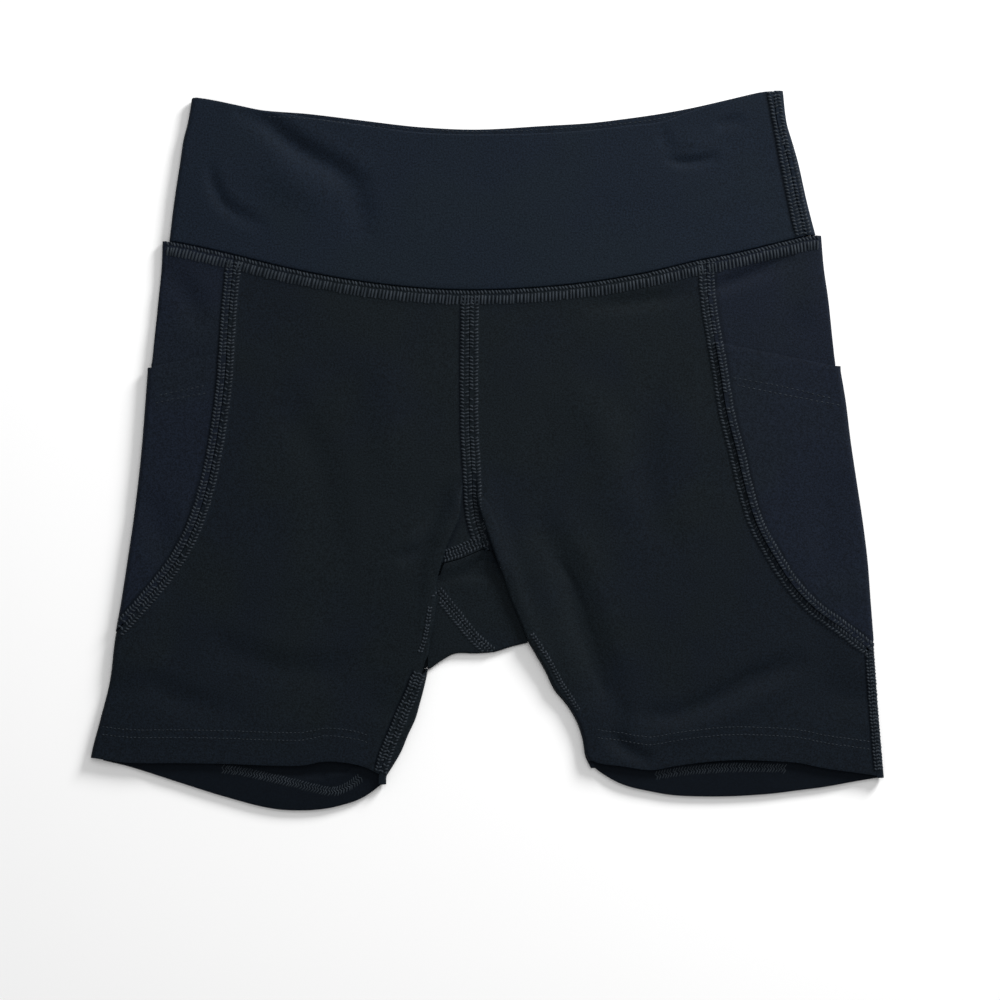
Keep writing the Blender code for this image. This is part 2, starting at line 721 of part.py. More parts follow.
def front_leg_left():
    hem = front_hem[LEFT]
    upper = lambda x: front_waist(x) - EASE
    outer_x = outer_front_edge(LEFT)
    tip = LEFT_TIP[1] + 1
    panel, step, turned = down_to_hem(outer_x(HEM_CORNER_Y[LEFT]), hem, tip, outer_x)
    curve = tip_rows(LEFT, meeting(outer_x, upper), outer_x, CURVE_ROWS[0])
    outer_edge = chain(*curve, (LEG_ROWS, panel), (1, step), (HEM_ROWS, turned))

    seam_x = lambda y: centre_front(y) - EASE
    gusset_edge = lambda x: gusset_seam(x) + EASE

    def fold_x(y):
        on_fold = inner[LEFT](y) - TURN_RADIUS
        on_seam = left_inseam(y) - EASE
        crossing = ramp(y, *INSEAM_CROSSING)
        return on_fold * (1 - crossing) + on_seam * crossing

    fold_start = gusset_edge(GUSSET_LEFT_X)
    panel, step, turned = down_to_hem(INSEAM_HEM_X, hem, fold_start, fold_x)
    inner_edge = chain(
        (SEAM_ROWS, down_line(meeting(seam_x, upper), SEAM_END_LEFT, seam_x)),
        (GUSSET_ROWS[LEFT], across_line(seam_x(SEAM_END_LEFT), GUSSET_LEFT_X, gusset_edge)),
        (FRONT_FOLD_ROWS[LEFT], panel),
        (1, step),
        (HEM_ROWS, turned),
    )
    flat = sheet(outer_edge, inner_edge, upper, hem, LEG_COLUMNS, front_top)

    first, last = LEFT_TIP
    from_row = int(np.argmax(outer_edge[:, 1] < first))
    rows = flat[from_row:, 0]
    turns = [pi * ramp(y, first, last - TIP_ROOM) for _, y, _ in rows]
    flap = SIDE_SEAM_INSET - EASE
    flaps = [flap * ramp(y, last - TIP_ROOM, last - 3 * TIP_ROOM) for _, y, _ in rows]
    radii = [z / 2 for _, _, z in rows]
    wrap = rolled(rows, (LEFT, 0), radii, turns, flaps, -1)

    lip_rows = flat[SEAM_ROWS + GUSSET_ROWS[LEFT] :, -1]
    lip_turns = [pi * from_rolls(y, LEFT_LIP, "half_turns") for _, y, _ in lip_rows]
    lip_flaps = [from_rolls(y, LEFT_LIP, "flap") for _, y, _ in lip_rows]
    lip = rolled(lip_rows, (RIGHT, 0), [TURN_RADIUS] * len(lip_rows), lip_turns, lip_flaps, -1)
    in_hem = hem_test(hem)
    return make_piece("front_leg_left", [flat, wrap, lip], CLOTH, KNIT, in_hem)


def front_leg_right():
    hem = front_hem[RIGHT]
    upper = lambda x: front_waist(x) - EASE
    outer_x = outer_front_edge(RIGHT)
    tip = RIGHT_TIP[1] + 1
    panel, step, turned = down_to_hem(outer_x(HEM_CORNER_Y[RIGHT]), hem, tip, outer_x)
    curve = tip_rows(RIGHT, meeting(outer_x, upper), outer_x, CURVE_ROWS[0])
    outer_edge = chain(*curve, (LEG_ROWS, panel), (1, step), (HEM_ROWS, turned))

    seam_x = lambda y: centre_front(y) + EASE
    gusset_edge = lambda x: gusset_seam(x) + EASE

    def roll_radius(y):
        wide = front_top(inner[RIGHT](y), y) / 2 - EASE - EDGE_LIP
        grown = ramp(y, CROTCH_BASE_RIGHT + 1, CROTCH_BASE_RIGHT - FOLD_START)
        return TURN_RADIUS * (1 - grown) + wide * grown

    fold_x = lambda y: inner[RIGHT](y) + roll_radius(y)
    fold_start = gusset_edge(GUSSET_RIGHT_X)
    panel, step, turned = down_to_hem(RIGHT_FOLD_HEM_X, hem, fold_start, fold_x)
    inner_edge = chain(
        (SEAM_ROWS, down_line(meeting(seam_x, upper), SEAM_END_RIGHT, seam_x)),
        (GUSSET_ROWS[RIGHT], across_line(seam_x(SEAM_END_RIGHT), GUSSET_RIGHT_X, gusset_edge)),
        (FRONT_FOLD_ROWS[RIGHT], panel),
        (1, step),
        (HEM_ROWS, turned),
    )
    flat = sheet(outer_edge, inner_edge, upper, hem, LEG_COLUMNS, front_top)
    lip_rows = flat[SEAM_ROWS + GUSSET_ROWS[RIGHT] :, -1]
    lip_turns = [pi * from_rolls(y, RIGHT_LIP, "half_turns") for _, y, _ in lip_rows]
    lip_flaps = [from_rolls(y, RIGHT_LIP, "flap") for _, y, _ in lip_rows]
    radii = [roll_radius(y) for _, y, _ in lip_rows]
    lip = rolled(lip_rows, (LEFT, 0), radii, lip_turns, lip_flaps, -1)
    in_hem = hem_test(hem)
    return make_piece("front_leg_right", [flat, lip], CLOTH, KNIT, in_hem)


def crotch_line(x):
    """Where the roll at the crotch leaves the ground."""
    return crotch_fold(x) + TURN_RADIUS


def back_leg_left():
    hem = back_hem[LEFT]
    upper = lambda x: back_waist(x) - EASE
    seam_inset = lambda y: front_top(outer[LEFT](y), y) / 2 + GAP + SIDE_SEAM_INSET + EASE

    def outer_x(y):
        seam = back_curve[LEFT](y) + EASE
        fold = outer[LEFT](y) + seam_inset(y)
        return max(seam, fold)

    corner_x = outer_x(HEM_CORNER_Y[LEFT])
    panel, step, turned = down_to_hem(corner_x, hem, LEFT_TIP[1] + 1, outer_x)
    curve = tip_rows(LEFT, meeting(outer_x, upper), outer_x, CURVE_ROWS[0])
    outer_edge = chain(*curve, (LEG_ROWS, panel), (1, step), (HEM_ROWS, turned))

    centre_x = lambda y: centre_back(y) - EASE
    tip = Run(BACK_TIP.x - EASE, BACK_TIP.y)
    base = Run(CROTCH_MIDDLE - GAP, crotch_line(CROTCH_MIDDLE - GAP))
    radius = lambda y: front_top(inner[LEFT](y), y) / 2
    fold_x = lambda y: inner[LEFT](y) - radius(y)
    corner = Run(CROTCH_LEFT, crotch_line(CROTCH_LEFT))
    leg_y = corner.y - LEG_BELOW_CROTCH[LEFT]
    leg = Run(fold_x(leg_y), leg_y)

    panel, step, turned = down_to_hem(LEFT_FOLD_HEM_X, hem, leg.y, fold_x)
    inner_edge = chain(
        (BACK_SEAM_ROWS[0], down_line(meeting(centre_x, upper), tip.y, centre_x)),
        (BACK_SEAM_ROWS[1], straight(tip, base)),
        (CROTCH_ROWS, across_line(base.x, corner.x, crotch_line)),
        (1, straight(corner, leg)),
        (BACK_FOLD_ROWS[LEFT], panel),
        (1, step),
        (HEM_ROWS, turned),
    )
    flat = sheet(outer_edge, inner_edge, upper, hem, LEG_COLUMNS, ground)

    crotch_start = sum(BACK_SEAM_ROWS)
    crotch_end = crotch_start + CROTCH_ROWS
    crotch_rows = flat[crotch_start : crotch_end + 1, -1]
    count = len(crotch_rows)
    roll = rolled(
        crotch_rows, (0, -1), [TURN_RADIUS] * count, [pi] * count, [0] * count, 1, flap_steps=0
    )
    seam_rows = np.array([(x, max(y, diagonal_seam(x) - EASE)) for x, y, _ in roll[:, -1]])
    flap = np.empty((count, FLAP_COLUMNS + 1, 3))
    for row in range(count):
        for column in range(FLAP_COLUMNS + 1):
            t = column / FLAP_COLUMNS
            x, y = roll[row, -1, :2] * (1 - t) + seam_rows[row] * t
            flap[row, column] = (x, y, MIDDLE_TOP)

    leg_rows = flat[crotch_end + 1 :, -1]
    radii = [radius(y) for _, y, _ in leg_rows]
    turns = [pi * ramp(y, leg.y, leg.y - FOLD_START) for _, y, _ in leg_rows]
    flaps = []
    for (x, y, _), turn in zip(leg_rows, turns):
        reach = x - left_inseam(y) - EASE
        flaps.append(max(reach, 0.0) * ramp(turn, FLAP_TURN, pi))
    wrap = rolled(leg_rows, (RIGHT, 0), radii, turns, flaps, 1)
    in_hem = hem_test(hem, WRAP_HEM_Y[LEFT])
    return make_piece("back_leg_left", [flat, roll, flap, wrap], CLOTH, KNIT, in_hem)


def back_leg_right():
    hem = back_hem[RIGHT]
    upper = lambda x: back_waist(x) - EASE
    fold_radius = lambda y: front_top(outer[RIGHT](y), y) / 2

    def outer_x(y):
        seam = back_curve[RIGHT](y) - EASE
        fold = outer[RIGHT](y) - fold_radius(y) - GAP
        return min(seam, fold)

    corner_x = outer_x(HEM_CORNER_Y[RIGHT])
    panel, step, turned = down_to_hem(corner_x, hem, RIGHT_TIP[1] + 1, outer_x)
    curve = tip_rows(RIGHT, meeting(outer_x, upper), outer_x, CURVE_ROWS[0])
    outer_edge = chain(*curve, (LEG_ROWS, panel), (1, step), (HEM_ROWS, turned))

    centre_x = lambda y: centre_back(y) + EASE
    tip = Run(BACK_TIP.x + EASE, BACK_TIP.y)
    base = Run(CROTCH_FOLD[-1].x + GAP, CROTCH_BASE_RIGHT)
    radius = lambda y: front_top(inner[RIGHT](y), y) / 2
    fold_x = lambda y: inner[RIGHT](y) + radius(y)
    leg_y = base.y - LEG_BELOW_CROTCH[RIGHT]
    leg = Run(fold_x(leg_y), leg_y)

    panel, step, turned = down_to_hem(RIGHT_FOLD_HEM_X, hem, leg.y, fold_x)
    inner_edge = chain(
        (SEAM_ROWS, down_line(meeting(centre_x, upper), tip.y, centre_x)),
        (1, straight(tip, base)),
        (1, straight(base, leg)),
        (BACK_FOLD_ROWS[RIGHT], panel),
        (1, step),
        (HEM_ROWS, turned),
    )
    flat = sheet(outer_edge, inner_edge, upper, hem, LEG_COLUMNS, ground)

    inner_rows = flat[SEAM_ROWS + 2 :, -1]
    inner_turns = [pi / 2 * ramp(y, leg.y, leg.y - FOLD_START) for _, y, _ in inner_rows]
    inner_radii = [radius(y) - EASE - EDGE_LIP for _, y, _ in inner_rows]
    inner_flaps = [EDGE_LIP * (turn > 0) for turn in inner_turns]
    inner_wrap = rolled(
        inner_rows, (LEFT, 0), inner_radii, inner_turns, inner_flaps, 1, flap_steps=1
    )
    first, last = RIGHT_TIP
    from_row = int(np.argmax(outer_edge[:, 1] < first))
    outer_rows = flat[from_row:, 0]
    outer_turns = [pi * ramp(y, first - 1, last - TIP_ROOM) for _, y, _ in outer_rows]
    grown = [ramp(y, last - TIP_ROOM, last - 3 * TIP_ROOM) for _, y, _ in outer_rows]
    outer_flaps = [RIGHT_SEAM_INSET * share for share in grown]
    outer_radii = [fold_radius(y) for _, y, _ in outer_rows]
    outer_wrap = rolled(outer_rows, (RIGHT, 0), outer_radii, outer_turns, outer_flaps, 1)
    in_hem = hem_test(hem, WRAP_HEM_Y[RIGHT])
    return make_piece("back_leg_right", [flat, inner_wrap, outer_wrap], CLOTH, KNIT, in_hem)


def gusset():
    """The crotch piece: down from the fronts, between the layers, round the crotch and under."""
    top_left = GUSSET_LEFT_X + GUSSET_END_INSET
    top_right = GUSSET_RIGHT_X - GUSSET_END_INSET

    def left_x(y):
        return inner[LEFT](y) + GUSSET_EASE - GUSSET_REACH * rise(y, GUSSET_SPREAD[LEFT])

    def right_x(y):
        out = rise(y, GUSSET_SPREAD[RIGHT]) * (1 - GUSSET_NARROWED * rise(y, GUSSET_NARROWS))
        return inner[RIGHT](y) - GUSSET_EASE + GUSSET_REACH * out

    seam = lambda x: gusset_seam(x) - GUSSET_SEAM_GAP
    diagonal = lambda x: diagonal_seam(x) + GAP
    bend = DIAGONAL_SEAM[0].x
    bottom_left = CROTCH_MIDDLE + GAP
    bottom_right = CROTCH_FOLD[-1].x - GUSSET_BASE_RIGHT
    left_edge = chain(
        (GUSSET_SIDE_ROWS, down_line(seam(top_left), diagonal(bend), left_x)),
        (DIAGONAL_ROWS, across_line(bend, bottom_left, diagonal)),
    )
    on_diagonal = left_edge[GUSSET_SIDE_ROWS:]
    on_diagonal[:, 1] = [max(y, crotch_line(x)) for x, y in on_diagonal]
    left_edge[-1] = (bottom_left, crotch_line(bottom_left))
    side_rows = GUSSET_SIDE_ROWS + DIAGONAL_ROWS
    right_edge = chain(
        (side_rows, down_line(seam(top_right), crotch_line(bottom_right), right_x)),
    )
    right_edge[-1, 0] = bottom_right
    flat = sheet(left_edge, right_edge, seam, crotch_line, GUSSET_COLUMNS, gusset_top)
    bottom = flat[-1]
    count = len(bottom)
    roll = rolled(
        bottom, (0, -1), [TURN_RADIUS] * count, [pi] * count, [0] * count, -1, flap_steps=0
    )
    tip = np.array((BACK_TIP.x, BACK_TIP.y - GUSSET_TIP_DROP, 0.0))
    under = np.empty((count, UNDER_COLUMNS + 1, 3))
    for row in range(count):
        for column in range(UNDER_COLUMNS + 1):
            t = column / UNDER_COLUMNS
            under[row, column] = roll[row, -1] * (1 - t) + tip * t
    return make_piece("gusset", [flat, roll, under], CLOTH, KNIT)


def main():
    for thing in list(bpy.data.objects):
        bpy.data.objects.remove(thing, do_unlink=True)
    collection = bpy.data.collections.new("cycling_shorts")
    bpy.context.scene.collection.children.link(collection)
    waistband("waistband_front")
    waistband("waistband_back")
    for side in (LEFT, RIGHT):
        make_side_panel(side)
        make_pocket(side)
    front_leg_left()
    front_leg_right()
    back_leg_left()
    back_leg_right()
    gusset()


main()
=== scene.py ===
"""Looks of the cycling shorts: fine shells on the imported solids, with creases, seams and threads.

The shells repeat the cut of the solids from the same tables, with more rows and columns. Tables and
shapes are in millimetres in the garment's own frame, and finished meshes in metres in the row's frame.
Left and right are as seen from above, with the waist towards +Y.
"""

from collections import namedtuple
from math import cos, pi, radians, sin

import bmesh
import bpy
import numpy as np
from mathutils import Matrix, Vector, noise
from mathutils.bvhtree import BVHTree


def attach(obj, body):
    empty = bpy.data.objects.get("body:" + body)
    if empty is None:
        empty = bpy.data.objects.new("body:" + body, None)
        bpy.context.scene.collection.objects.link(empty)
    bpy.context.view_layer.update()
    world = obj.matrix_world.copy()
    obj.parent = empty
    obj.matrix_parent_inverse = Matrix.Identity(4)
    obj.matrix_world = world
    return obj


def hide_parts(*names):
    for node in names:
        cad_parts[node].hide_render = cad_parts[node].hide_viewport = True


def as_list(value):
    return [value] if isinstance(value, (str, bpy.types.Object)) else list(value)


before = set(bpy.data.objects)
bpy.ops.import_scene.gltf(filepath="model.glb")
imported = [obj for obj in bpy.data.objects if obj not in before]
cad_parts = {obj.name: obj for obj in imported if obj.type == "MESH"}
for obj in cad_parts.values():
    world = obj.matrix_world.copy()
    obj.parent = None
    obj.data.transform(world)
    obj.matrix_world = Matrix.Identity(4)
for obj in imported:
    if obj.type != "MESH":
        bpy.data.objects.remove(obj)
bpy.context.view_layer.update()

MM = 0.001
CENTRE = (-0.4, -0.5, 0.0)  # the middle of the outline in the tables' own frame, moved to the origin
CLOTH = 1.1  # wall of the knit
BAND_CLOTH = 2.0  # the waistband is doubled
HEM_CLOTH = 2.2  # turned hems are doubled
HEM_DEPTH = 18.0
HEM_STEP = 0.6  # run over which a hem's wall thickens
GAP = 0.3  # between neighbouring pieces
EASE = GAP / 2

FRONT_TOP = 4.2  # heights of the front's outer face above the ground
BAND_TOP = 5.2
HEM_TOP = 4.9
TIP_TOP = 5.6
CROTCH_TOP = 5.4
MIDDLE_TOP = 2.5  # outer face of what lies between front and back at the crotch

PANEL_LIFT = CLOTH + GAP  # the side panel lies this far above the pocket that wraps under it
POCKET_TOP = FRONT_TOP + PANEL_LIFT
POCKET_STANDS_OUT = 2.2
POCKET_MOUTH_SLOPE = 0.2  # rise of the opening for each unit in from the fold
POCKET_MOUTH_Y = 43.5  # the opening's height at the fold
SEAM_IN_FOLD = 0.05  # least flat beside a fold that a seam leaves
TURN_RADIUS = 1.25  # the small roll of an edge that turns under
TURN_FLAP = 4.0
ARC_STEPS = 12
FINE = 6  # steps of these shells for each step of the solids
LEFT_BACK_FADES = 5  # its hem's curve fades fast, so that its rows don't cross at the crotch
EDGE_CROWDING = 0.65  # columns lie closer together near a panel's edges

LEFT, RIGHT = -1, 1
WORDS = {LEFT: "left", RIGHT: "right"}


def table(kind, *rows):
    """Rows of a table with named columns."""
    return [kind(*row) for row in rows]


Fold = namedtuple("Fold", "y left right")
# The outer folds, from the waist seam to the hem. The two rows at 46 and 42 are the pocket's opening.
OUTER = table(
    Fold,
    (115, -171, 175), (95, -171.7, 176.7), (79, -173.3, 179), (58, -175.4, 181.1), (46, -176.6, 182.4),
    (42, -178.9, 185.3), (26, -180.1, 188), (5, -181.7, 190.6), (-16, -183.8, 193.7),
    (-37, -186.4, 196.9), (-58, -189.5, 199.5), (-79, -192.7, 201.1), (-100, -196.4, 202.7),
    (-121, -199, 204.2), (-142, -204.2, 205.8), (-161, -209, 207.4), (-172, -210, 208.4),
)
BAND_SIDES = table(
    Fold,
    (189, -155, 155), (171, -158, 157.2), (163, -160.1, 159.6), (152, -161.7, 162.8),
    (131, -164.9, 167.5), (108, -167.7, 173.4),
)
# The inner folds of the legs, from the gusset down.
INNER = table(
    Fold,
    (-51, -19, 1.6), (-59, -23.6, 5.3), (-67, -26.3, 8.5), (-77, -26.8, 11.4), (-90, -28, 17),
    (-101, -30.5, 21.5), (-115, -31.5, 29.7), (-125, -33.6, 34.7), (-133, -35.7, 41.5),
    (-142, -38.3, 46.8), (-150, -42, 49.4), (-159, -45.7, 51), (-164, -48.5, 53.5), (-172, -53.5, 58),
)
# The curved seams between side panels and leg panels, on the front and underneath.
FRONT_CURVES = table(
    Fold,
    (112, -132, 114.2), (80, -135.4, 115.5), (58, -137, 118.9), (42, -137.8, 121.7),
    (20, -140.2, 125.2), (-3, -144, 131), (-21, -148, 135.3), (-39, -153.8, 141), (-56, -162.3, 150.2),
    (-72, -174, 160.8), (-85, -185.2, 173.6), (-92, -191.7, 183.6), (-105, -205, 200.5),
    (-125, -226, 226.5),
)
BACK_CURVES = table(
    Fold,
    (112, -110, 136), (58, -113, 140), (20, -119, 145), (-21, -133, 155), (-39, -142, 163),
    (-56, -154, 173), (-72, -167, 184), (-85, -179, 194), (-92, -185, 199), (-100, -191.5, 206),
    (-125, -222, 232),
)

Run = namedtuple("Run", "x y")
WAIST_SEAM = table(
    Run,
    (-180, 109.4), (-166, 109.4), (-160, 108.4), (-135, 102.9), (-105, 95.6), (-72, 89.3), (-36, 85.1),
    (-9, 84), (22, 85.1), (54, 88.2), (85, 93.5), (109, 99.2), (130, 103.4), (152, 108.7),
    (170, 112.6), (180, 112.6),
)
BACK_SEAM_RISE = 3.0  # how much higher the waist seam lies behind, at the middle
GUSSET_SEAM = table(
    Run,
    (-23.6, -59.3), (-14.2, -56.7), (-6.3, -53.4), (-2.5, -52), (1.8, -52.8),
)
CROTCH_FOLD = table(
    Run,
    (-31, -115.5), (-24, -110.6), (-17.9, -107.4), (-6.3, -107.1), (3, -106.3), (12.6, -103.4),
    (21.5, -101.3),
)
# The seam between the gusset and the left back panel, where that panel rolls up over the crotch.
DIAGONAL_SEAM = table(
    Run,
    (-31, -70.5), (-24.8, -77.2), (-18.4, -84.5), (-12.6, -91.9), (-7.4, -98.2), (0, -104),
    (4, -107.4),
)

Edge = namedtuple("Edge", "x front back")
BAND_EDGE = table(
    Edge,
    (-155, 185.3, 185.3), (-145, 183.8, 183.9), (-132, 181.1, 181.3), (-119.7, 178.4, 178.9),
    (-94.5, 174.6, 176.8), (-69.3, 171, 173.7), (-34, 166.5, 169.7), (-5, 165.6, 168.6),
    (31, 166.4, 170.6), (53.6, 168, 172), (73.5, 170.3, 174.4), (91.4, 172.4, 177), (107, 178, 179.9),
    (120, 182.2, 182.8), (132, 185.3, 185.6), (145, 188.1, 188.2), (155, 188.6, 188.6),
)
LEFT_HEM = table(
    Edge,
    (-210, -161, -161), (-201.6, -162.6, -163.3), (-189, -164.1, -166.3), (-163.8, -164.3, -174.3),
    (-138.6, -164.7, -182.2), (-113.4, -165.6, -188.5), (-97.7, -165.6, -189.5),
    (-85.6, -163.5, -188.6), (-78, -163.8, -187), (-66, -166, -182.8), (-57, -170, -176.5),
    (-52, -172, -172),
)
RIGHT_HEM = table(
    Edge,
    (52.5, -162.2, -164), (58, -164.3, -168.6), (69.8, -165.9, -175.4), (86, -168, -179.6),
    (96.6, -166.2, -181.4), (109.7, -164.3, -182.1), (128.6, -162.8, -182), (149.6, -163.3, -180.6),
    (163.3, -164.3, -178.9), (176.4, -167, -177.2), (194.8, -169.6, -173.9), (209, -171.6, -171.6),
)

Seam = namedtuple("Seam", "y x")
CENTRE_FRONT = table(
    Seam,
    (90, -9.5), (12, -9.7), (-14, -8.4), (-30, -7.6), (-41, -5.5), (-46, -3.6), (-53, -2.4),
)
CENTRE_BACK = table(
    Seam,
    (95, 8.5), (10, 8.5), (-50, 12.5), (-90, 18),
)
# The left inseam, from the fold down to the hem. It crosses the fold at the first row.
LEFT_INSEAM = table(
    Seam,
    (-110, -32.6), (-118, -35.2), (-128, -40.4), (-139, -45.5), (-149, -49.4), (-159, -53),
    (-171, -57.5),
)

# How far each edge is rolled, in half turns, and how long its flap is, by height on the garment.
Roll = namedtuple("Roll", "y half_turns flap")
EDGE_LIP = 0.12  # a straight end on a part turn, so that its edge is square
LEFT_LIP = table(
    Roll,
    (-62, 0, 0), (-73, 1, 0), (-84, 1, TURN_FLAP), (-98, 1, TURN_FLAP), (-104, 1, 0), (-110, 0, 0),
)
RIGHT_LIP = table(
    Roll,
    (-54, 0, 0), (-66, 1, 0), (-78, 1, TURN_FLAP), (-90, 1, TURN_FLAP), (-95, 1, 0),
    (-100, 0.5, EDGE_LIP),
)
LIPS = {LEFT: LEFT_LIP, RIGHT: RIGHT_LIP}
CURVE_BREAK = -40.0  # the curved seams bend more from here down, so their rows lie closer
CURVE_ROWS = (8, 8, 3)  # down to the break, down to the tip, and round the fold
SIDE_SEAM_INSET = 4.0  # the hidden left side seam, in from the start of the fold's flat
RIGHT_SEAM_INSET = 1.3
# Where the seams pass round the outer folds, first and last.
TIPS = {LEFT: (-92.0, -100.0), RIGHT: (-94.0, -106.0)}
TIP_ROOM = 2.0  # a leg panel's wrap is whole this far below the end of the side panel's tip
BAND_SEAM_LEFT = 5.0  # how far the band's side seams lie in from the folds
BAND_SEAM_RIGHT = 2.6

# Where the front rises a little: the reach at full height, and the reach at which it is level again.
Rise = namedtuple("Rise", "full none")
CROTCH_X = -5.0
CROTCH_ACROSS = Rise(30, 75)
CROTCH_ABOVE = Rise(-68, -20)
CROTCH_BELOW = Rise(-112, -145)
HEM_RISE = Rise(HEM_DEPTH + 2, HEM_DEPTH + 27)
TIP_ACROSS = Rise(10, 32)
TIP_ALONG = Rise(12, 34)
GUSSET_DROP = Rise(11, 1)  # below its front seam
PANEL_INTO_POCKET = Rise(45, 42.5)  # where the side panel narrows to fit in the pocket's fold
PANEL_ONTO_POCKET = Rise(74, 56)  # where it lifts off the ground for the pocket's back layer

HEM_CORNER_Y = {LEFT: -161.0, RIGHT: -171.0}  # the outer corners of the hems
WRAP_HEM_Y = {LEFT: -150.0, RIGHT: -145.0}  # the wrapped edges of the backs are hems below this
FRONT_FOLD_HEM_X = {LEFT: -57.6, RIGHT: 53.5}  # where the inner edges meet the hems
BACK_FOLD_HEM_X = {LEFT: -56.5, RIGHT: 53.5}
SEAM_END = {LEFT: -52.0, RIGHT: -51.8}  # where the centre front seam ends, on the two fronts
GUSSET_SEAM_X = {LEFT: -23.8, RIGHT: 1.8}  # ends of the gusset's front seam
GUSSET_SEAM_GAP = 0.5  # below the seam's line, because the gusset slopes away from it
GUSSET_EASE = 0.9  # the gusset's side edges, in from the leg folds where the gusset is still high
GUSSET_REACH = TURN_FLAP + GUSSET_EASE + 1.0  # lower down they lie hidden between the layers
GUSSET_SPREAD = {LEFT: Rise(-71, -65), RIGHT: Rise(-66, -58)}  # where they run out that far
GUSSET_NARROWS = Rise(-98, -93)  # and where the right one comes back
GUSSET_NARROWED = 0.9
GUSSET_END_INSET = 1.0  # each end of the front seam, in from the seam's own
GUSSET_BASE_RIGHT = 0.6  # the gusset's lower right corner, in from the end of the crotch fold
GUSSET_TIP_DROP = 1.5  # the gusset's point underneath, below the backs' tip
LEG_BELOW_CROTCH = {LEFT: 1, RIGHT: 4}  # from the crotch's fold down to the legs' own
CROTCH_LEFT = -31.6
CROTCH_MIDDLE = 3.0
BACK_TIP = Run(18.0, -90.0)  # where the two backs and the gusset meet underneath
CROTCH_BASE_RIGHT = -101.0
INSEAM_CROSSING = (-104.0, -112.0)  # the left inseam passes from the fold onto the front
FOLD_START = 3.0  # run over which a fold grows to its full turn

SEAM_ROWS = 10  # down the centre seam, on the fronts and the right back
GUSSET_ROWS = {LEFT: 4, RIGHT: 1}
BACK_SEAM_ROWS = (8, 2)  # down the centre back seam, and on to the crotch
CROTCH_ROWS = 8
LEG_ROWS = 5  # the outer edge, from the panel tip to the hem
FRONT_FOLD_ROWS = {LEFT: 10, RIGHT: 13}
BACK_FOLD_ROWS = {LEFT: 5, RIGHT: 12}
HEM_STEPS = 2
BAND_ROWS = 6
BAND_COLUMNS = 22
SIDE_COLUMNS = 4
GUSSET_COLUMNS = 6
GUSSET_SIDE_ROWS = 4  # down the gusset's left edge to its corner
DIAGONAL_ROWS = 7
LEG_COLUMNS = 17
FLAP_COLUMNS = 12
ON_GROUND = 0.1
FLAP_TURN = 0.9 * pi  # a fold turned less than this has no flap

BODY = "body_knit"
BAND = "band_knit"
SIDES = "side_knit"


def smooth(table, key, value, sharp=()):
    """The column `value` as a smooth function of the column `key`, with corners at the keys in `sharp`."""
    rows = sorted(table, key=lambda row: getattr(row, key))
    places = [getattr(row, key) for row in rows]
    values = [getattr(row, value) for row in rows]
    slopes = [
        (values[i + 1] - values[i]) / (places[i + 1] - places[i])
        for i in range(len(rows) - 1)
    ]

    def slope(i, from_right):
        after = slopes[min(i, len(slopes) - 1)]
        before = slopes[max(i - 1, 0)]
        if places[i] in sharp:
            return after if from_right else before
        return (before + after) / 2

    def at(place):
        place = min(max(place, places[0]), places[-1])
        i = min(int(np.searchsorted(places, place, "right")) - 1, len(places) - 2)
        span = places[i + 1] - places[i]
        t = (place - places[i]) / span
        return (
            values[i] * (1 + 2 * t) * (1 - t) ** 2
            + values[i + 1] * t * t * (3 - 2 * t)
            + slope(i, True) * span * t * (1 - t) ** 2
            - slope(i + 1, False) * span * t * t * (1 - t)
        )

    return at


def ramp(value, start, end):
    """0 at start, 1 at end, with level ends."""
    t = min(max((value - start) / (end - start), 0.0), 1.0)
    return t * t * (3 - 2 * t)


def rise(value, between):
    return ramp(value, between.none, between.full)


OPENING_ROWS = (46, 42)


def both_sides(rows, sharp=()):
    return {LEFT: smooth(rows, "y", "left", sharp), RIGHT: smooth(rows, "y", "right", sharp)}


outer = both_sides(OUTER, OPENING_ROWS)
band_side, inner = both_sides(BAND_SIDES), both_sides(INNER)
front_curve, back_curve = both_sides(FRONT_CURVES), both_sides(BACK_CURVES)
front_waist = smooth(WAIST_SEAM, "x", "y")
gusset_seam = smooth(GUSSET_SEAM, "x", "y")
crotch_fold = smooth(CROTCH_FOLD, "x", "y")
diagonal_seam = smooth(DIAGONAL_SEAM, "x", "y")
band_front_edge = smooth(BAND_EDGE, "x", "front")
band_back_edge = smooth(BAND_EDGE, "x", "back")
front_hem = {LEFT: smooth(LEFT_HEM, "x", "front"), RIGHT: smooth(RIGHT_HEM, "x", "front")}
back_hem = {LEFT: smooth(LEFT_HEM, "x", "back"), RIGHT: smooth(RIGHT_HEM, "x", "back")}
centre_front = smooth(CENTRE_FRONT, "y", "x")
centre_back = smooth(CENTRE_BACK, "y", "x")
left_inseam = smooth(LEFT_INSEAM, "y", "x")


def back_waist(x):
    return front_waist(x) + BACK_SEAM_RISE * max(0.0, 1 - (x / outer[RIGHT](100)) ** 2)


def front_top(x, y):
    """Height of the front's outer face: a little higher over the crotch, the hems and the panel tips."""
    crotch = (
        rise(abs(x - CROTCH_X), CROTCH_ACROSS) * rise(y, CROTCH_ABOVE) * rise(y, CROTCH_BELOW)
    )
    hem_line = front_hem[LEFT if x < 0 else RIGHT](x)
    hem = rise(y - hem_line, HEM_RISE)
    tip = max(
        rise(abs(x - outer[side](y)), TIP_ACROSS) * rise(abs(y - sum(ends) / 2), TIP_ALONG)
        for side, ends in TIPS.items()
    )
    rises = (
        (CROTCH_TOP - FRONT_TOP) * crotch,
        (HEM_TOP - FRONT_TOP) * hem,
        (TIP_TOP - FRONT_TOP) * tip,
    )
    return FRONT_TOP + max(rises)


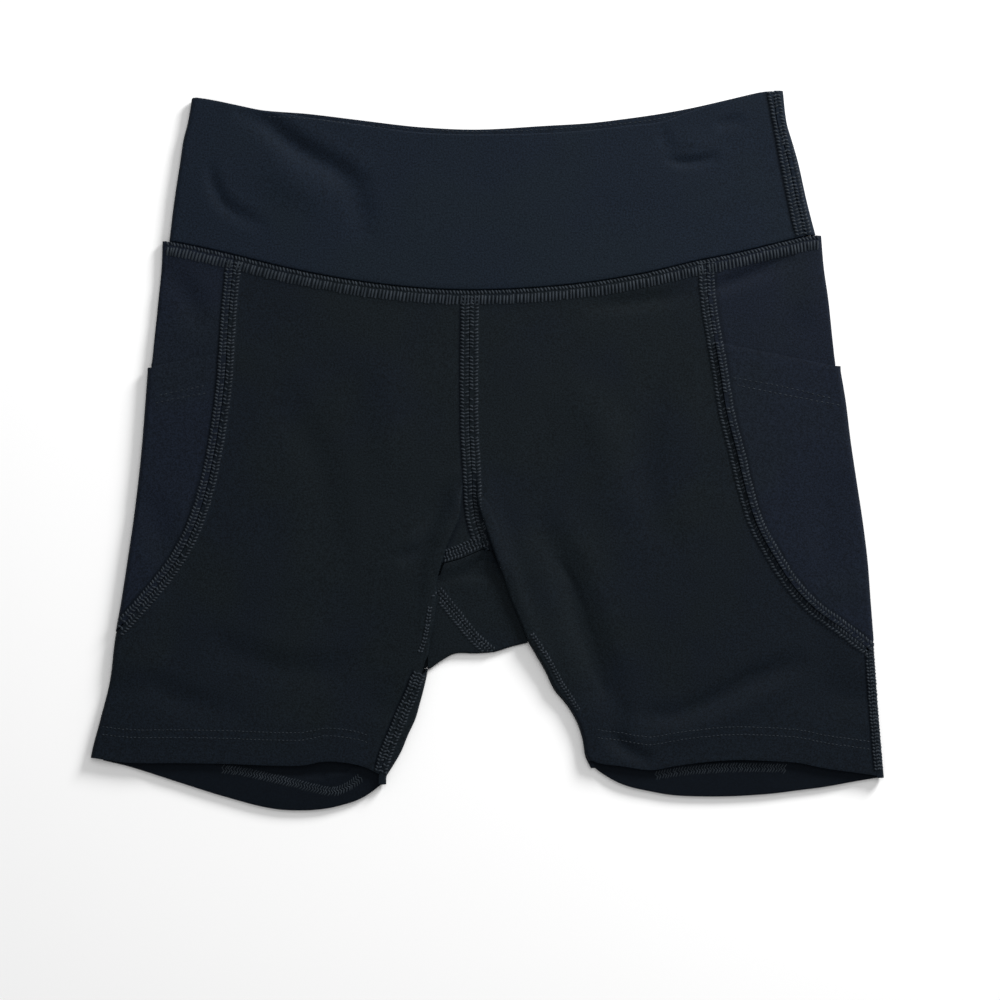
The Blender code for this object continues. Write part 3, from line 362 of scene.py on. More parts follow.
def gusset_top(x, y):
    """Height of the gusset: level with the fronts at their seam, then down between the layers."""
    drop = rise(gusset_seam(x) - y, GUSSET_DROP)
    return front_top(x, y) * (1 - drop) + MIDDLE_TOP * drop


def chain(*stretches):
    """Rows of an edge: each stretch is a count of steps and a function of 0 to 1 that gives x and y."""
    points = [stretches[0][1](0.0)]
    for steps, place in stretches:
        points += [place((step + 1) / (steps * FINE)) for step in range(steps * FINE)]
    return np.array(points)


def down_line(start, end, x_of_y):
    """A stretch that runs down a line x(y)."""

    def place(t):
        y = start + (end - start) * t
        return (x_of_y(y), y)

    return place


def across_line(start, end, y_of_x):
    """A stretch that runs along a line y(x)."""

    def place(t):
        x = start + (end - start) * t
        return (x, y_of_x(x))

    return place


def straight(start, end):
    def place(t):
        return (start.x + (end.x - start.x) * t, start.y + (end.y - start.y) * t)

    return place


def down_to_hem(x_end, hem, start, x_of_y):
    """Stretches down to a hem: the panel, the step where the hem's second layer starts, and the hem."""
    end = hem(x_end)
    top = end + HEM_DEPTH
    return (
        down_line(start, top, x_of_y),
        down_line(top, top - HEM_STEP, x_of_y),
        down_line(top - HEM_STEP, end, x_of_y),
    )


def sheet(left, right, top, bottom, columns, height, fades=2):
    """Points of a sheet between two edges of equal rows; top and bottom are functions y(x).

    The curves of top and bottom fade into the sheet, the faster the larger fades is.
    """
    rows = len(left) - 1
    columns *= FINE
    steps = np.linalg.norm(np.diff(left, axis=0), axis=1)
    along = np.concatenate([[0], np.cumsum(steps)]) / max(steps.sum(), 1e-9)
    points = np.empty((rows + 1, columns + 1, 3))
    for row in range(rows + 1):
        down = along[row]
        for column in range(columns + 1):
            t = column / columns
            across = t - EDGE_CROWDING * sin(2 * pi * t) / (2 * pi)
            x, y = left[row] * (1 - across) + right[row] * across
            for line, weight, end in ((top, 1 - down, 0), (bottom, down, rows)):
                if line is None:
                    continue
                end_x, end_y = left[end] * (1 - across) + right[end] * across
                y += (line(end_x) - end_y) * weight**fades
            points[row, column] = (x, y, height(x, y))
    return points


def rolled(starts, outward, radii, turns, flaps, rise, flap_steps=6):
    """Points of an edge that rolls over: an arc of each row's own turn and then a straight flap.

    rise is -1 where the roll goes down from the top and 1 where it comes up from the ground.
    """
    points = np.empty((len(starts), ARC_STEPS + flap_steps + 1, 3))
    away = np.array((*outward, 0.0))
    up = np.array((0.0, 0.0, rise))
    for row, start in enumerate(starts):
        for step in range(ARC_STEPS + 1):
            turn = turns[row] * step / ARC_STEPS
            points[row, step] = start + radii[row] * (away * sin(turn) + up * (1 - cos(turn)))
        heading = away * cos(turns[row]) + up * sin(turns[row])
        for step in range(flap_steps):
            length = flaps[row] * (step + 1) / flap_steps
            points[row, ARC_STEPS + 1 + step] = points[row, ARC_STEPS] + heading * length
    return points


def ground(x, y):
    return 0.0


def waistband(name):
    """Half of the doubled band: the front half wraps the left fold, the back half the right fold."""
    front = name == "waistband_front"
    fold = LEFT if front else RIGHT
    radius = BAND_TOP / 2
    edge = band_front_edge if front else band_back_edge
    seam = (lambda x: front_waist(x) + EASE) if front else (lambda x: back_waist(x) + EASE)
    other = (lambda x: back_waist(x) + EASE) if front else (lambda x: front_waist(x) + EASE)
    height = (lambda x, y: BAND_TOP) if front else ground
    # Where this half ends on the far side: short of the fold in front, and past the fold behind.
    far_inset = radius + BAND_SEAM_RIGHT + EASE if front else radius + BAND_SEAM_LEFT + EASE
    flap = (BAND_SEAM_LEFT if front else BAND_SEAM_RIGHT) - EASE

    def side_line(side, inset):
        x_of_y = lambda y: band_side[side](y) - side * inset
        top, bottom = meeting(x_of_y, edge), meeting(x_of_y, seam)
        return chain((BAND_ROWS, down_line(top, bottom, x_of_y)))

    near = side_line(fold, radius)
    far = side_line(-fold, far_inset)
    left, right = (near, far) if front else (far, near)
    flat = sheet(left, right, edge, seam, BAND_COLUMNS, height)
    rows = BAND_ROWS * FINE + 1
    near_points = flat[:, 0 if front else -1]
    turns = [pi] * rows
    roll = rolled(near_points, (fold, 0), [radius] * rows, turns, [flap] * rows, -1 if front else 1)
    # The far part's lower edge keeps to the waist seam of that side.
    for row, column in np.ndindex(roll.shape[:2]):
        if column > ARC_STEPS:
            roll[row, column, 1] = max(roll[row, column, 1], other(roll[row, column, 0]))
    return make_piece(name, [flat, roll], BAND_CLOTH, BAND)


def tip_rows(side, start, x_of_y, break_rows):
    """Stretches down a curved seam to its tip and round the fold, the same for every piece along it."""
    first, last = TIPS[side]
    return (
        (break_rows, down_line(start, CURVE_BREAK, x_of_y)),
        (CURVE_ROWS[1], down_line(CURVE_BREAK, first + 1, x_of_y)),
        (CURVE_ROWS[2], down_line(first + 1, last + 1, x_of_y)),
    )


def meeting(curve, upper):
    """The height at which a seam x(y) meets an upper line y(x)."""
    y = upper(curve(0))
    for _ in range(6):
        y = upper(curve(y))
    return y


def side_piece(name, side, low, high, fold_x, upper_front, upper_back, break_rows):
    """A side panel or its pocket: front part, roll round the outer fold, and the part underneath."""
    first, last = TIPS[side]
    radius = lambda y: (high(0, y) - low(0, y)) / 2
    tangent = lambda y: fold_x(y) - side * radius(y)
    fold = chain(*tip_rows(side, meeting(tangent, upper_front), tangent, break_rows))
    turns = [pi * (1 - ramp(y, first + 1, last + 1)) for _, y in fold]
    tip_row = (break_rows + CURVE_ROWS[1]) * FINE

    def seam_line(curve, upper, stretches):
        """Rows of a curved seam, kept just inside the fold's flat."""

        def x_of_y(y):
            x = curve(y) + side * EASE
            edge = tangent(y) - side * SEAM_IN_FOLD
            return min(x, edge) if side == RIGHT else max(x, edge)

        return chain(*tip_rows(side, meeting(x_of_y, upper), x_of_y, break_rows)[:stretches])

    def part(curve, upper, height, stretches):
        rows = len(fold) if stretches == len(CURVE_ROWS) else tip_row + 1
        return sheet(fold[:rows], seam_line(curve, upper, stretches), upper, None, SIDE_COLUMNS, height)

    # The seam passes round the left fold from the front to the back, and the right one the other way.
    top = part(front_curve[side], upper_front, high, 2 if side == LEFT else 3)
    under = part(back_curve[side], upper_back, low, 3 if side == LEFT else 2)
    base, met, way = (under, top, 1) if side == LEFT else (top, under, -1)
    starts = base[:, 0]
    radii = [radius(y) for _, y in fold]
    roll = rolled(starts, (side, 0), radii, turns, [0] * len(fold), way, flap_steps=0)
    met[:, 0] = roll[: tip_row + 1, -1]
    return make_piece(name, [top, under, roll], CLOTH, SIDES)


def make_side_panel(side):
    inset = lambda y: POCKET_STANDS_OUT * (1 - rise(y, PANEL_INTO_POCKET))
    fold_x = lambda y: outer[side](y) - side * inset(y)
    low = lambda x, y: PANEL_LIFT * (1 - rise(y, PANEL_ONTO_POCKET))
    high = lambda x, y: FRONT_TOP
    upper_front = lambda x: front_waist(x) - EASE
    upper_back = lambda x: back_waist(x) - EASE
    rows = CURVE_ROWS[0]
    name = "side_panel_" + WORDS[side]
    side_piece(name, side, low, high, fold_x, upper_front, upper_back, rows)


def make_pocket(side):
    below = OPENING_ROWS[1]
    mouth = Run(outer[side](below), POCKET_MOUTH_Y)
    fold_x = lambda y: outer[side](min(y, below))
    opening = lambda x: mouth.y + abs(x - mouth.x) * POCKET_MOUTH_SLOPE
    behind = lambda x: mouth.y - abs(x - mouth.x) * POCKET_MOUTH_SLOPE / 2
    high = lambda x, y: POCKET_TOP
    rows = CURVE_ROWS[0] // 2 + 1
    side_piece("pocket_" + WORDS[side], side, ground, high, fold_x, opening, behind, rows)


def outer_front_edge(side):
    """The front leg panel's outer edge: the curved seam, then the fold or the side seam near it."""

    def x_of_y(y):
        seam = front_curve[side](y) - side * EASE
        radius = front_top(outer[side](y), y) / 2
        inset = radius + (GAP if side == LEFT else RIGHT_SEAM_INSET + GAP + EASE)
        fold = outer[side](y) - side * inset
        return max(seam, fold) if side == LEFT else min(seam, fold)

    return x_of_y


def outer_rows(side, hem, upper, outer_x):
    """Rows of a leg panel's outer edge: the curved seam, the tip, and down to the hem."""
    tip = TIPS[side][1] + 1
    panel, step, turned = down_to_hem(outer_x(HEM_CORNER_Y[side]), hem, tip, outer_x)
    curve = tip_rows(side, meeting(outer_x, upper), outer_x, CURVE_ROWS[0])
    return chain(*curve, (LEG_ROWS, panel), (1, step), (HEM_STEPS, turned))


def hem_test(hem, wrapped_below=0.0):
    """Whether a point lies in the doubled hem. Wrapped edges, off the ground, count only below a height."""

    def test(x, y, z):
        return y < hem(x) + HEM_DEPTH - HEM_STEP / 2 and (z < ON_GROUND or y < wrapped_below)

    return test


def from_rolls(y, rolls, column):
    """A column of a table of rolls at the height y."""
    places = sorted(rolls, key=lambda roll: roll.y)
    return float(np.interp(y, [r.y for r in places], [getattr(r, column) for r in places]))


def front_leg(side):
    hem = front_hem[side]
    upper = lambda x: front_waist(x) - EASE
    outer_edge = outer_rows(side, hem, upper, outer_front_edge(side))
    seam_x = lambda y: centre_front(y) + side * EASE
    gusset_edge = lambda x: gusset_seam(x) + EASE

    def left_fold_x(y):
        on_fold = inner[LEFT](y) - TURN_RADIUS
        on_seam = left_inseam(y) - EASE
        crossing = ramp(y, *INSEAM_CROSSING)
        return on_fold * (1 - crossing) + on_seam * crossing

    def roll_radius(y):
        if side == LEFT:
            return TURN_RADIUS
        wide = front_top(inner[RIGHT](y), y) / 2 - EASE - EDGE_LIP
        grown = ramp(y, CROTCH_BASE_RIGHT + 1, CROTCH_BASE_RIGHT - FOLD_START)
        return TURN_RADIUS * (1 - grown) + wide * grown

    fold_x = left_fold_x if side == LEFT else lambda y: inner[RIGHT](y) + roll_radius(y)
    gusset_x, seam_end = GUSSET_SEAM_X[side], SEAM_END[side]
    panel, step, turned = down_to_hem(FRONT_FOLD_HEM_X[side], hem, gusset_edge(gusset_x), fold_x)
    inner_edge = chain(
        (SEAM_ROWS, down_line(meeting(seam_x, upper), seam_end, seam_x)),
        (GUSSET_ROWS[side], across_line(seam_x(seam_end), gusset_x, gusset_edge)),
        (FRONT_FOLD_ROWS[side], panel),
        (1, step),
        (HEM_STEPS, turned),
    )
    flat = sheet(outer_edge, inner_edge, upper, hem, LEG_COLUMNS, front_top)
    patches = [flat]
    if side == LEFT:
        first, last = TIPS[LEFT]
        rows = flat[int(np.argmax(outer_edge[:, 1] < first)) :, 0]
        turns = [pi * ramp(y, first, last - TIP_ROOM) for _, y, _ in rows]
        flap = SIDE_SEAM_INSET - EASE
        flaps = [flap * ramp(y, last - TIP_ROOM, last - 3 * TIP_ROOM) for _, y, _ in rows]
        radii = [z / 2 for _, _, z in rows]
        patches.append(rolled(rows, (LEFT, 0), radii, turns, flaps, -1))

    lip = LIPS[side]
    rows = flat[(SEAM_ROWS + GUSSET_ROWS[side]) * FINE :, -1]
    turns = [pi * from_rolls(y, lip, "half_turns") for _, y, _ in rows]
    flaps = [from_rolls(y, lip, "flap") for _, y, _ in rows]
    radii = [roll_radius(y) for _, y, _ in rows]
    patches.append(rolled(rows, (-side, 0), radii, turns, flaps, -1))
    return make_piece("front_leg_" + WORDS[side], patches, CLOTH, BODY, hem_test(hem))


def crotch_line(x):
    """Where the roll at the crotch leaves the ground."""
    return crotch_fold(x) + TURN_RADIUS


def back_leg_left():
    hem = back_hem[LEFT]
    upper = lambda x: back_waist(x) - EASE
    seam_inset = lambda y: front_top(outer[LEFT](y), y) / 2 + GAP + SIDE_SEAM_INSET + EASE

    def outer_x(y):
        seam = back_curve[LEFT](y) + EASE
        fold = outer[LEFT](y) + seam_inset(y)
        return max(seam, fold)

    outer_edge = outer_rows(LEFT, hem, upper, outer_x)

    centre_x = lambda y: centre_back(y) - EASE
    tip = Run(BACK_TIP.x - EASE, BACK_TIP.y)
    base = Run(CROTCH_MIDDLE - GAP, crotch_line(CROTCH_MIDDLE - GAP))
    radius = lambda y: front_top(inner[LEFT](y), y) / 2
    fold_x = lambda y: inner[LEFT](y) - radius(y)
    corner = Run(CROTCH_LEFT, crotch_line(CROTCH_LEFT))
    leg_y = corner.y - LEG_BELOW_CROTCH[LEFT]
    leg = Run(fold_x(leg_y), leg_y)
    panel, step, turned = down_to_hem(BACK_FOLD_HEM_X[LEFT], hem, leg.y, fold_x)
    inner_edge = chain(
        (BACK_SEAM_ROWS[0], down_line(meeting(centre_x, upper), tip.y, centre_x)),
        (BACK_SEAM_ROWS[1], straight(tip, base)),
        (CROTCH_ROWS, across_line(base.x, corner.x, crotch_line)),
        (1, straight(corner, leg)),
        (BACK_FOLD_ROWS[LEFT], panel),
        (1, step),
        (HEM_STEPS, turned),
    )
    flat = sheet(outer_edge, inner_edge, upper, hem, LEG_COLUMNS, ground, LEFT_BACK_FADES)

    crotch_start = sum(BACK_SEAM_ROWS) * FINE
    crotch_end = crotch_start + CROTCH_ROWS * FINE
    crotch_rows = flat[crotch_start : crotch_end + 1, -1]
    count = len(crotch_rows)
    roll = rolled(
        crotch_rows, (0, -1), [TURN_RADIUS] * count, [pi] * count, [0] * count, 1, flap_steps=0
    )
    seam_rows = np.array([(x, max(y, diagonal_seam(x) - EASE)) for x, y, _ in roll[:, -1]])
    flap = np.empty((count, FLAP_COLUMNS + 1, 3))
    for row in range(count):
        for column in range(FLAP_COLUMNS + 1):
            t = column / FLAP_COLUMNS
            x, y = roll[row, -1, :2] * (1 - t) + seam_rows[row] * t
            flap[row, column] = (x, y, MIDDLE_TOP)

    leg_rows = flat[crotch_end + FINE :, -1]
    radii = [radius(y) for _, y, _ in leg_rows]
    turns = [pi / 2 * (1 + ramp(y, leg.y, leg.y - FOLD_START)) for _, y, _ in leg_rows]
    flaps = []
    for (x, y, _), turn in zip(leg_rows, turns):
        reach = x - left_inseam(y) - EASE
        flaps.append(max(reach, 0.0) * ramp(turn, FLAP_TURN, pi))
    wrap = rolled(leg_rows, (RIGHT, 0), radii, turns, flaps, 1)
    in_hem = hem_test(hem, WRAP_HEM_Y[LEFT])
    return make_piece("back_leg_left", [flat, roll, flap, wrap], CLOTH, BODY, in_hem)


def back_leg_right():
    hem = back_hem[RIGHT]
    upper = lambda x: back_waist(x) - EASE
    fold_radius = lambda y: front_top(outer[RIGHT](y), y) / 2

    def outer_x(y):
        seam = back_curve[RIGHT](y) - EASE
        fold = outer[RIGHT](y) - fold_radius(y) - GAP
        return min(seam, fold)

    outer_edge = outer_rows(RIGHT, hem, upper, outer_x)

    centre_x = lambda y: centre_back(y) + EASE
    tip = Run(BACK_TIP.x + EASE, BACK_TIP.y)
    base = Run(CROTCH_FOLD[-1].x + GAP, CROTCH_BASE_RIGHT)
    radius = lambda y: front_top(inner[RIGHT](y), y) / 2
    fold_x = lambda y: inner[RIGHT](y) + radius(y)
    leg_y = base.y - LEG_BELOW_CROTCH[RIGHT]
    leg = Run(fold_x(leg_y), leg_y)

    panel, step, turned = down_to_hem(BACK_FOLD_HEM_X[RIGHT], hem, leg.y, fold_x)
    inner_edge = chain(
        (SEAM_ROWS, down_line(meeting(centre_x, upper), tip.y, centre_x)),
        (1, straight(tip, base)),
        (1, straight(base, leg)),
        (BACK_FOLD_ROWS[RIGHT], panel),
        (1, step),
        (HEM_STEPS, turned),
    )
    flat = sheet(outer_edge, inner_edge, upper, hem, LEG_COLUMNS, ground)

    inner_rows = flat[(SEAM_ROWS + 2) * FINE :, -1]
    inner_turns = [pi / 2 * ramp(y, leg.y, leg.y - FOLD_START) for _, y, _ in inner_rows]
    inner_radii = [radius(y) - EASE - EDGE_LIP for _, y, _ in inner_rows]
    inner_flaps = [EDGE_LIP * (turn > 0) for turn in inner_turns]
    inner_wrap = rolled(
        inner_rows, (LEFT, 0), inner_radii, inner_turns, inner_flaps, 1, flap_steps=1
    )
    first, last = TIPS[RIGHT]
    from_row = int(np.argmax(outer_edge[:, 1] < first))
    edge_rows = flat[from_row:, 0]
    outer_turns = [pi * ramp(y, first - 1, last + 1) for _, y, _ in edge_rows]
    grown = [ramp(y, last + 1.5, last) for _, y, _ in edge_rows]
    outer_flaps = [RIGHT_SEAM_INSET * share for share in grown]
    outer_radii = [fold_radius(y) for _, y, _ in edge_rows]
    outer_wrap = rolled(edge_rows, (RIGHT, 0), outer_radii, outer_turns, outer_flaps, 1)
    in_hem = hem_test(hem, WRAP_HEM_Y[RIGHT])
    return make_piece("back_leg_right", [flat, inner_wrap, outer_wrap], CLOTH, BODY, in_hem)


def gusset():
    """The crotch piece: down from the fronts, between the layers, round the crotch and under."""
    top_left, top_right = (GUSSET_SEAM_X[side] - side * GUSSET_END_INSET for side in (LEFT, RIGHT))

    def left_x(y):
        return inner[LEFT](y) + GUSSET_EASE - GUSSET_REACH * rise(y, GUSSET_SPREAD[LEFT])

    def right_x(y):
        out = rise(y, GUSSET_SPREAD[RIGHT]) * (1 - GUSSET_NARROWED * rise(y, GUSSET_NARROWS))
        return inner[RIGHT](y) - GUSSET_EASE + GUSSET_REACH * out

    seam = lambda x: gusset_seam(x) - GUSSET_SEAM_GAP
    diagonal = lambda x: diagonal_seam(x) + GAP
    bend = DIAGONAL_SEAM[0].x
    bottom_left = CROTCH_MIDDLE - 2 * GAP
    bottom_right = CROTCH_FOLD[-1].x - GUSSET_BASE_RIGHT
    left_edge = chain(
        (GUSSET_SIDE_ROWS, down_line(seam(top_left), diagonal(bend), left_x)),
        (DIAGONAL_ROWS, across_line(bend, bottom_left, diagonal)),
    )
    bend_row = GUSSET_SIDE_ROWS * FINE
    left_edge[bend_row:, 1] = [max(y, crotch_line(x)) for x, y in left_edge[bend_row:]]
    left_edge[-1] = (bottom_left, crotch_line(bottom_left))
    rows = GUSSET_SIDE_ROWS + DIAGONAL_ROWS
    right_edge = chain((rows, down_line(seam(top_right), crotch_line(bottom_right), right_x)))
    right_edge[-1, 0] = bottom_right
    flat = sheet(left_edge, right_edge, seam, crotch_line, GUSSET_COLUMNS, gusset_top)
    bottom = flat[-1]
    count = len(bottom)
    roll = rolled(
        bottom, (0, -1), [TURN_RADIUS] * count, [pi] * count, [0] * count, -1, flap_steps=0
    )
    tip = np.array((BACK_TIP.x, BACK_TIP.y - GUSSET_TIP_DROP, 0.0))
    under = np.empty((count, FLAP_COLUMNS + 1, 3))
    for row in range(count):
        for column in range(FLAP_COLUMNS + 1):
            t = column / FLAP_COLUMNS
            under[row, column] = roll[row, -1] * (1 - t) + tip * t
    return make_piece("gusset", [flat, roll, under], CLOTH, BODY)


Crease = namedtuple("Crease", "depth reach shoulder points")
# Soft troughs, each with a low shoulder on its left-hand side. A negative depth is a ridge.
CREASES = table(
    Crease,
    (1.5, 5.5, 0.5, ((-134, 178), (-118, 172.5), (-107, 163.5), (-96, 156), (-79, 147), (-62, 136))),
    (0.7, 6.0, 0.2, ((-84, 147), (-72, 136), (-66, 122), (-66, 108))),
    (-0.8, 9.0, 0.0, ((-118, 152), (-98, 138), (-82, 130))),
    (0.8, 3.4, 0.3, ((-147, 152), (-144, 139), (-139, 129.5), (-128, 122), (-116, 117))),
    (1.0, 2.0, 0.3, ((93, 154), (100, 151), (110, 151.6), (122, 154.6))),
    (0.3, 2.6, 0.2, ((90, 172), (93, 163), (97, 154))),
    (-0.3, 5.0, 0.0, ((98, 165), (108, 161), (122, 162))),
    (0.5, 3.0, 0.1, ((119, 169), (127, 172), (136, 173))),
    (0.8, 3.6, 0.3, ((50, 75), (80, 78), (98, 81), (111, 86))),
    (1.3, 3.2, 0.5, ((112, 83), (128, 88), (143, 94), (162, 102))),
    (-0.6, 7.0, 0.0, ((179, 96), (172, 83), (164, 68))),
    (1.3, 8.0, 0.5, ((24, -32), (32, -47), (41, -65), (47, -82), (53, -101), (60, -119), (69, -142))),
    (0.9, 2.2, 0.3, ((36, -56), (44, -70), (49, -86), (55, -106), (62, -130))),
    (1.3, 6.0, 0.6, ((168, -108), (150, -116), (132, -124), (118, -132), (98, -139), (78, -140))),
    (0.6, 5.0, 0.2, ((74, -132), (68, -146), (70, -162))),
    (0.7, 4.0, 0.3, ((62, -149), (73, -157), (88, -165))),
    (0.9, 5.0, 0.3, ((-37, -48), (-30, -36), (-22, -25), (-14, -14))),
    (0.7, 4.0, 0.3, ((-47, -60), (-36, -52), (-27, -46))),
    (-0.7, 4.5, 0.0, ((-17, -6), (-19, -26), (-22, -40), (-28, -54), (-31, -76), (-34, -96))),
    (-0.6, 4.5, 0.0, ((-2, -10), (0, -28), (5, -44), (12, -66), (21, -90), (34, -116))),
    (0.7, 8.0, 0.3, ((-150, -98), (-120, -112), (-88, -116), (-60, -108))),
    (0.6, 7.0, 0.3, ((-186, -118), (-160, -132), (-128, -138))),
    (0.5, 9.0, 0.2, ((-120, 40), (-96, 8), (-84, -30), (-82, -66))),
    (0.6, 10.0, 0.2, ((92, 44), (84, 10), (86, -28), (98, -60))),
    (-0.5, 12.0, 0.0, ((-60, 60), (-52, 20), (-56, -24))),
    (-0.6, 11.0, 0.0, ((40, 40), (60, 10), (68, -40))),
    (0.5, 6.0, 0.2, ((-172, 96), (-160, 84), (-148, 62))),
    (0.5, 8.0, 0.2, ((-182, -20), (-172, -44), (-170, -64))),
    (0.5, 8.0, 0.2, ((186, -12), (176, -40), (178, -70))),
)
# The hidden back lies on the ground, so its creases only lift off it.
BACK_CREASES = table(
    Crease,
    (-0.7, 8.0, 0.0, ((-120, 60), (-70, 40), (-20, 48))),
    (-0.8, 9.0, 0.0, ((40, 62), (84, 38), (140, 20))),
    (-0.9, 8.0, 0.0, ((14, -60), (-20, -52), (-70, -40))),
    (-0.8, 7.0, 0.0, ((22, -62), (60, -50), (104, -52))),
    (-0.8, 8.0, 0.0, ((-150, -120), (-100, -132), (-60, -124))),
    (-0.8, 9.0, 0.0, ((66, -118), (110, -134), (168, -128))),
    (-0.7, 7.0, 0.0, ((-130, 160), (-80, 140), (-30, 146))),
    (-0.7, 8.0, 0.0, ((50, 130), (96, 148), (140, 150))),
)
# Between these lines the centre seam sinks to the gusset, and the leg panels swell beside them.
VALLEY_LEFT = ((-12.2, -8), (-14.0, -26), (-14.9, -35), (-17.8, -42), (-21.2, -49.5), (-23.8, -58))
VALLEY_LEFT += ((-26.4, -67), (-27.2, -77))
VALLEY_RIGHT = ((-6.6, -12), (-5.0, -29), (-1.8, -39), (1.8, -49.5), (5.2, -59), (8.4, -67))
VALLEY_RIGHT += ((11.4, -77),)
VALLEY_DEPTH = 1.9
VALLEY_TOP = Rise(-34, -8)
VALLEY_END = Rise(-58, -72)
VALLEY_SIDE = Rise(0.4, -0.9)  # its sides lie under the lips of the folds
CREASE_DEPTH = 1.6
SHOULDER_AWAY = 1.7  # a crease's shoulder lies this many reaches from it
# Painted shade along the valley's sides: how dark, and how far it reaches from them.
VALLEY_SHADE = 0.7
VALLEY_SHADE_REACH = 2.6
LIFT_AT_SEAMS = 1.3  # share of a seam's band by which the back lifts off the ground
OFF_GROUND = 0.5  # what stays under the inner face where the relief would press the front down
SWELL = 0.28  # the slow unevenness of cloth that lies slack
SWELL_LENGTH = 34.0
RIPPLE = 0.1
RIPPLE_LENGTH = 11.0


def line_down(x_of_y, start, end, step=2.0):
    return np.array([(x_of_y(y), y) for y in np.arange(start, end, -step)])


def line_across(y_of_x, start, end, step=2.0):
    return np.array([(x, y_of_x(x)) for x in np.arange(start, end, step)])


def smooth_line(points, steps=8):
    """A curve through a few points, by their distance along it."""
    points = np.array(points, float)
    along = np.concatenate([[0], np.cumsum(np.linalg.norm(np.diff(points, axis=0), axis=1))])
    table = [Along(at, x, y) for at, (x, y) in zip(along, points)]
    x_at, y_at = smooth(table, "at", "x"), smooth(table, "at", "y")
    ends = np.linspace(0, along[-1], steps * (len(points) - 1) + 1)
    return np.array([(x_at(at), y_at(at)) for at in ends])


Along = namedtuple("Along", "at x y")
Band = namedtuple("Band", "path centre half groove")  # a seam's threads cover the band
side_seam_x = lambda y: outer[RIGHT](y) - 2.8
BAND_SIDE_SEAM = smooth_line(((150.6, 188.6), (155.4, 163), (160.6, 136), (165.4, 113.6)))
LEFT_INSEAM_EDGE = ((-38.8, -115.4), (-40, -118), (-44, -128), (-49, -139))
LEFT_INSEAM_EDGE += ((-53, -149), (-57, -159), (-59.5, -167.5))
SEAMS = {
    "waist": Band(line_across(front_waist, -169, 174), -3.9, 3.6, None),
    "centre": Band(line_down(centre_front, 81, -49), 0.0, 4.5, -4.9),
    "curve_left": Band(line_down(front_curve[LEFT], 99, -96), 0.0, 3.8, -4.3),
    "curve_right": Band(line_down(front_curve[RIGHT], 99, -106), 0.0, 3.8, 4.3),
    "side_right": Band(line_down(side_seam_x, -104, -170), 0.0, 2.2, -2.7),
    "band_side": Band(BAND_SIDE_SEAM, 0.0, 4.1, -4.7),
    "inseam_left": Band(smooth_line(LEFT_INSEAM_EDGE), 3.4, 3.2, -0.2),
}
BACK_SEAMS = {
    "waist": Band(line_across(back_waist, -168, 174), -3.9, 3.6, None),
    "centre": Band(line_down(centre_back, 84, -88), 0.0, 4.0, 4.4),
    "curve_left": Band(line_down(back_curve[LEFT], 100, -96), 0.0, 3.6, 4.0),
    "curve_right": Band(line_down(back_curve[RIGHT], 100, -98), 0.0, 3.6, -4.0),
}
SEAM_RISE = 0.35
BAND_SLOPE = 0.6  # half the run of a band's sides
# Painted shade: how far the cloth is darkened under a seam's threads.
SHADE_UNDER_THREADS = 0.1
# Painted shade on the inside of the back's hem, where it shows below the front's hem.
SHADE_INSIDE_HEM = 0.7
GROOVE_DEPTH = 0.55
GROOVE_REACH = 0.75
HEM_ROWS = (13.4, 17.4)  # the two rows of a hem's cover stitch, above its edge


def step_up(values, start, end):
    """0 at start, 1 at end, for arrays."""
    t = np.clip((values - start) / (end - start), 0, 1)
    return t * t * (3 - 2 * t)


def beside(path, places):
    """For each place: its distance from a path, positive on the left, and how far along it is, 0 to 1."""
    best = np.full(len(places), 1e9)
    signed = np.full(len(places), 1e9)
    along = np.zeros(len(places))
    runs = np.diff(path, axis=0)
    for i, run in enumerate(runs):
        rest = places - path[i]
        t = np.clip(rest @ run / (run @ run), 0, 1)
        away = np.hypot(rest[:, 0] - t * run[0], rest[:, 1] - t * run[1])
        nearer = away < best
        side = np.where(run[0] * rest[:, 1] - run[1] * rest[:, 0] < 0, -1, 1)
        signed[nearer] = (away * side)[nearer]
        along[nearer] = ((i + t) / len(runs))[nearer]
        best[nearer] = away[nearer]
    return signed, along


def creased(places, creases):
    rise_by = np.zeros(len(places))
    for crease in creases:
        away, along = beside(smooth_line(crease.points, 4), places)
        fade = np.sin(pi * along) ** 0.8
        rise_by -= CREASE_DEPTH * crease.depth * fade * np.exp(-((away / crease.reach) ** 2))
        ridge = (away - SHOULDER_AWAY * crease.reach) / crease.reach
        rise_by += crease.shoulder * fade * np.exp(-(ridge**2))
    return rise_by


def seamed(places, seams):
    """The low band under each seam's threads and the groove beside it, with painted shade in the groove and
    under the threads.
    """
    rise_by = np.zeros(len(places))
    shade = np.zeros(len(places))
    for seam in seams.values():
        away, along = beside(seam.path, places)
        inside = step_up(along, 0.0, 0.02) * step_up(along, 1.0, 0.98)
        off_middle = np.abs(away - seam.centre)
        flat = 1 - step_up(off_middle, seam.half - BAND_SLOPE, seam.half + BAND_SLOPE)
        rise_by = np.maximum(rise_by, SEAM_RISE * flat * inside)
        shade = np.maximum(shade, SHADE_UNDER_THREADS * flat * inside)
        if seam.groove is not None:
            cut = np.exp(-(((away - seam.groove) / GROOVE_REACH) ** 2)) * inside
            rise_by -= GROOVE_DEPTH * cut
            # painted shade along the groove
            shade = np.maximum(shade, cut)
    return rise_by, shade


def uneven(places):
    """Slow swells and small ripples, the same on every run."""
    heights = np.empty(len(places))
    for i, (x, y) in enumerate(places):
        slow = noise.noise(Vector((x / SWELL_LENGTH, y / SWELL_LENGTH, 3.7)))
        quick = noise.noise(Vector((x / RIPPLE_LENGTH, y / RIPPLE_LENGTH, 9.1)))
        heights[i] = SWELL * slow + RIPPLE * quick
    return heights


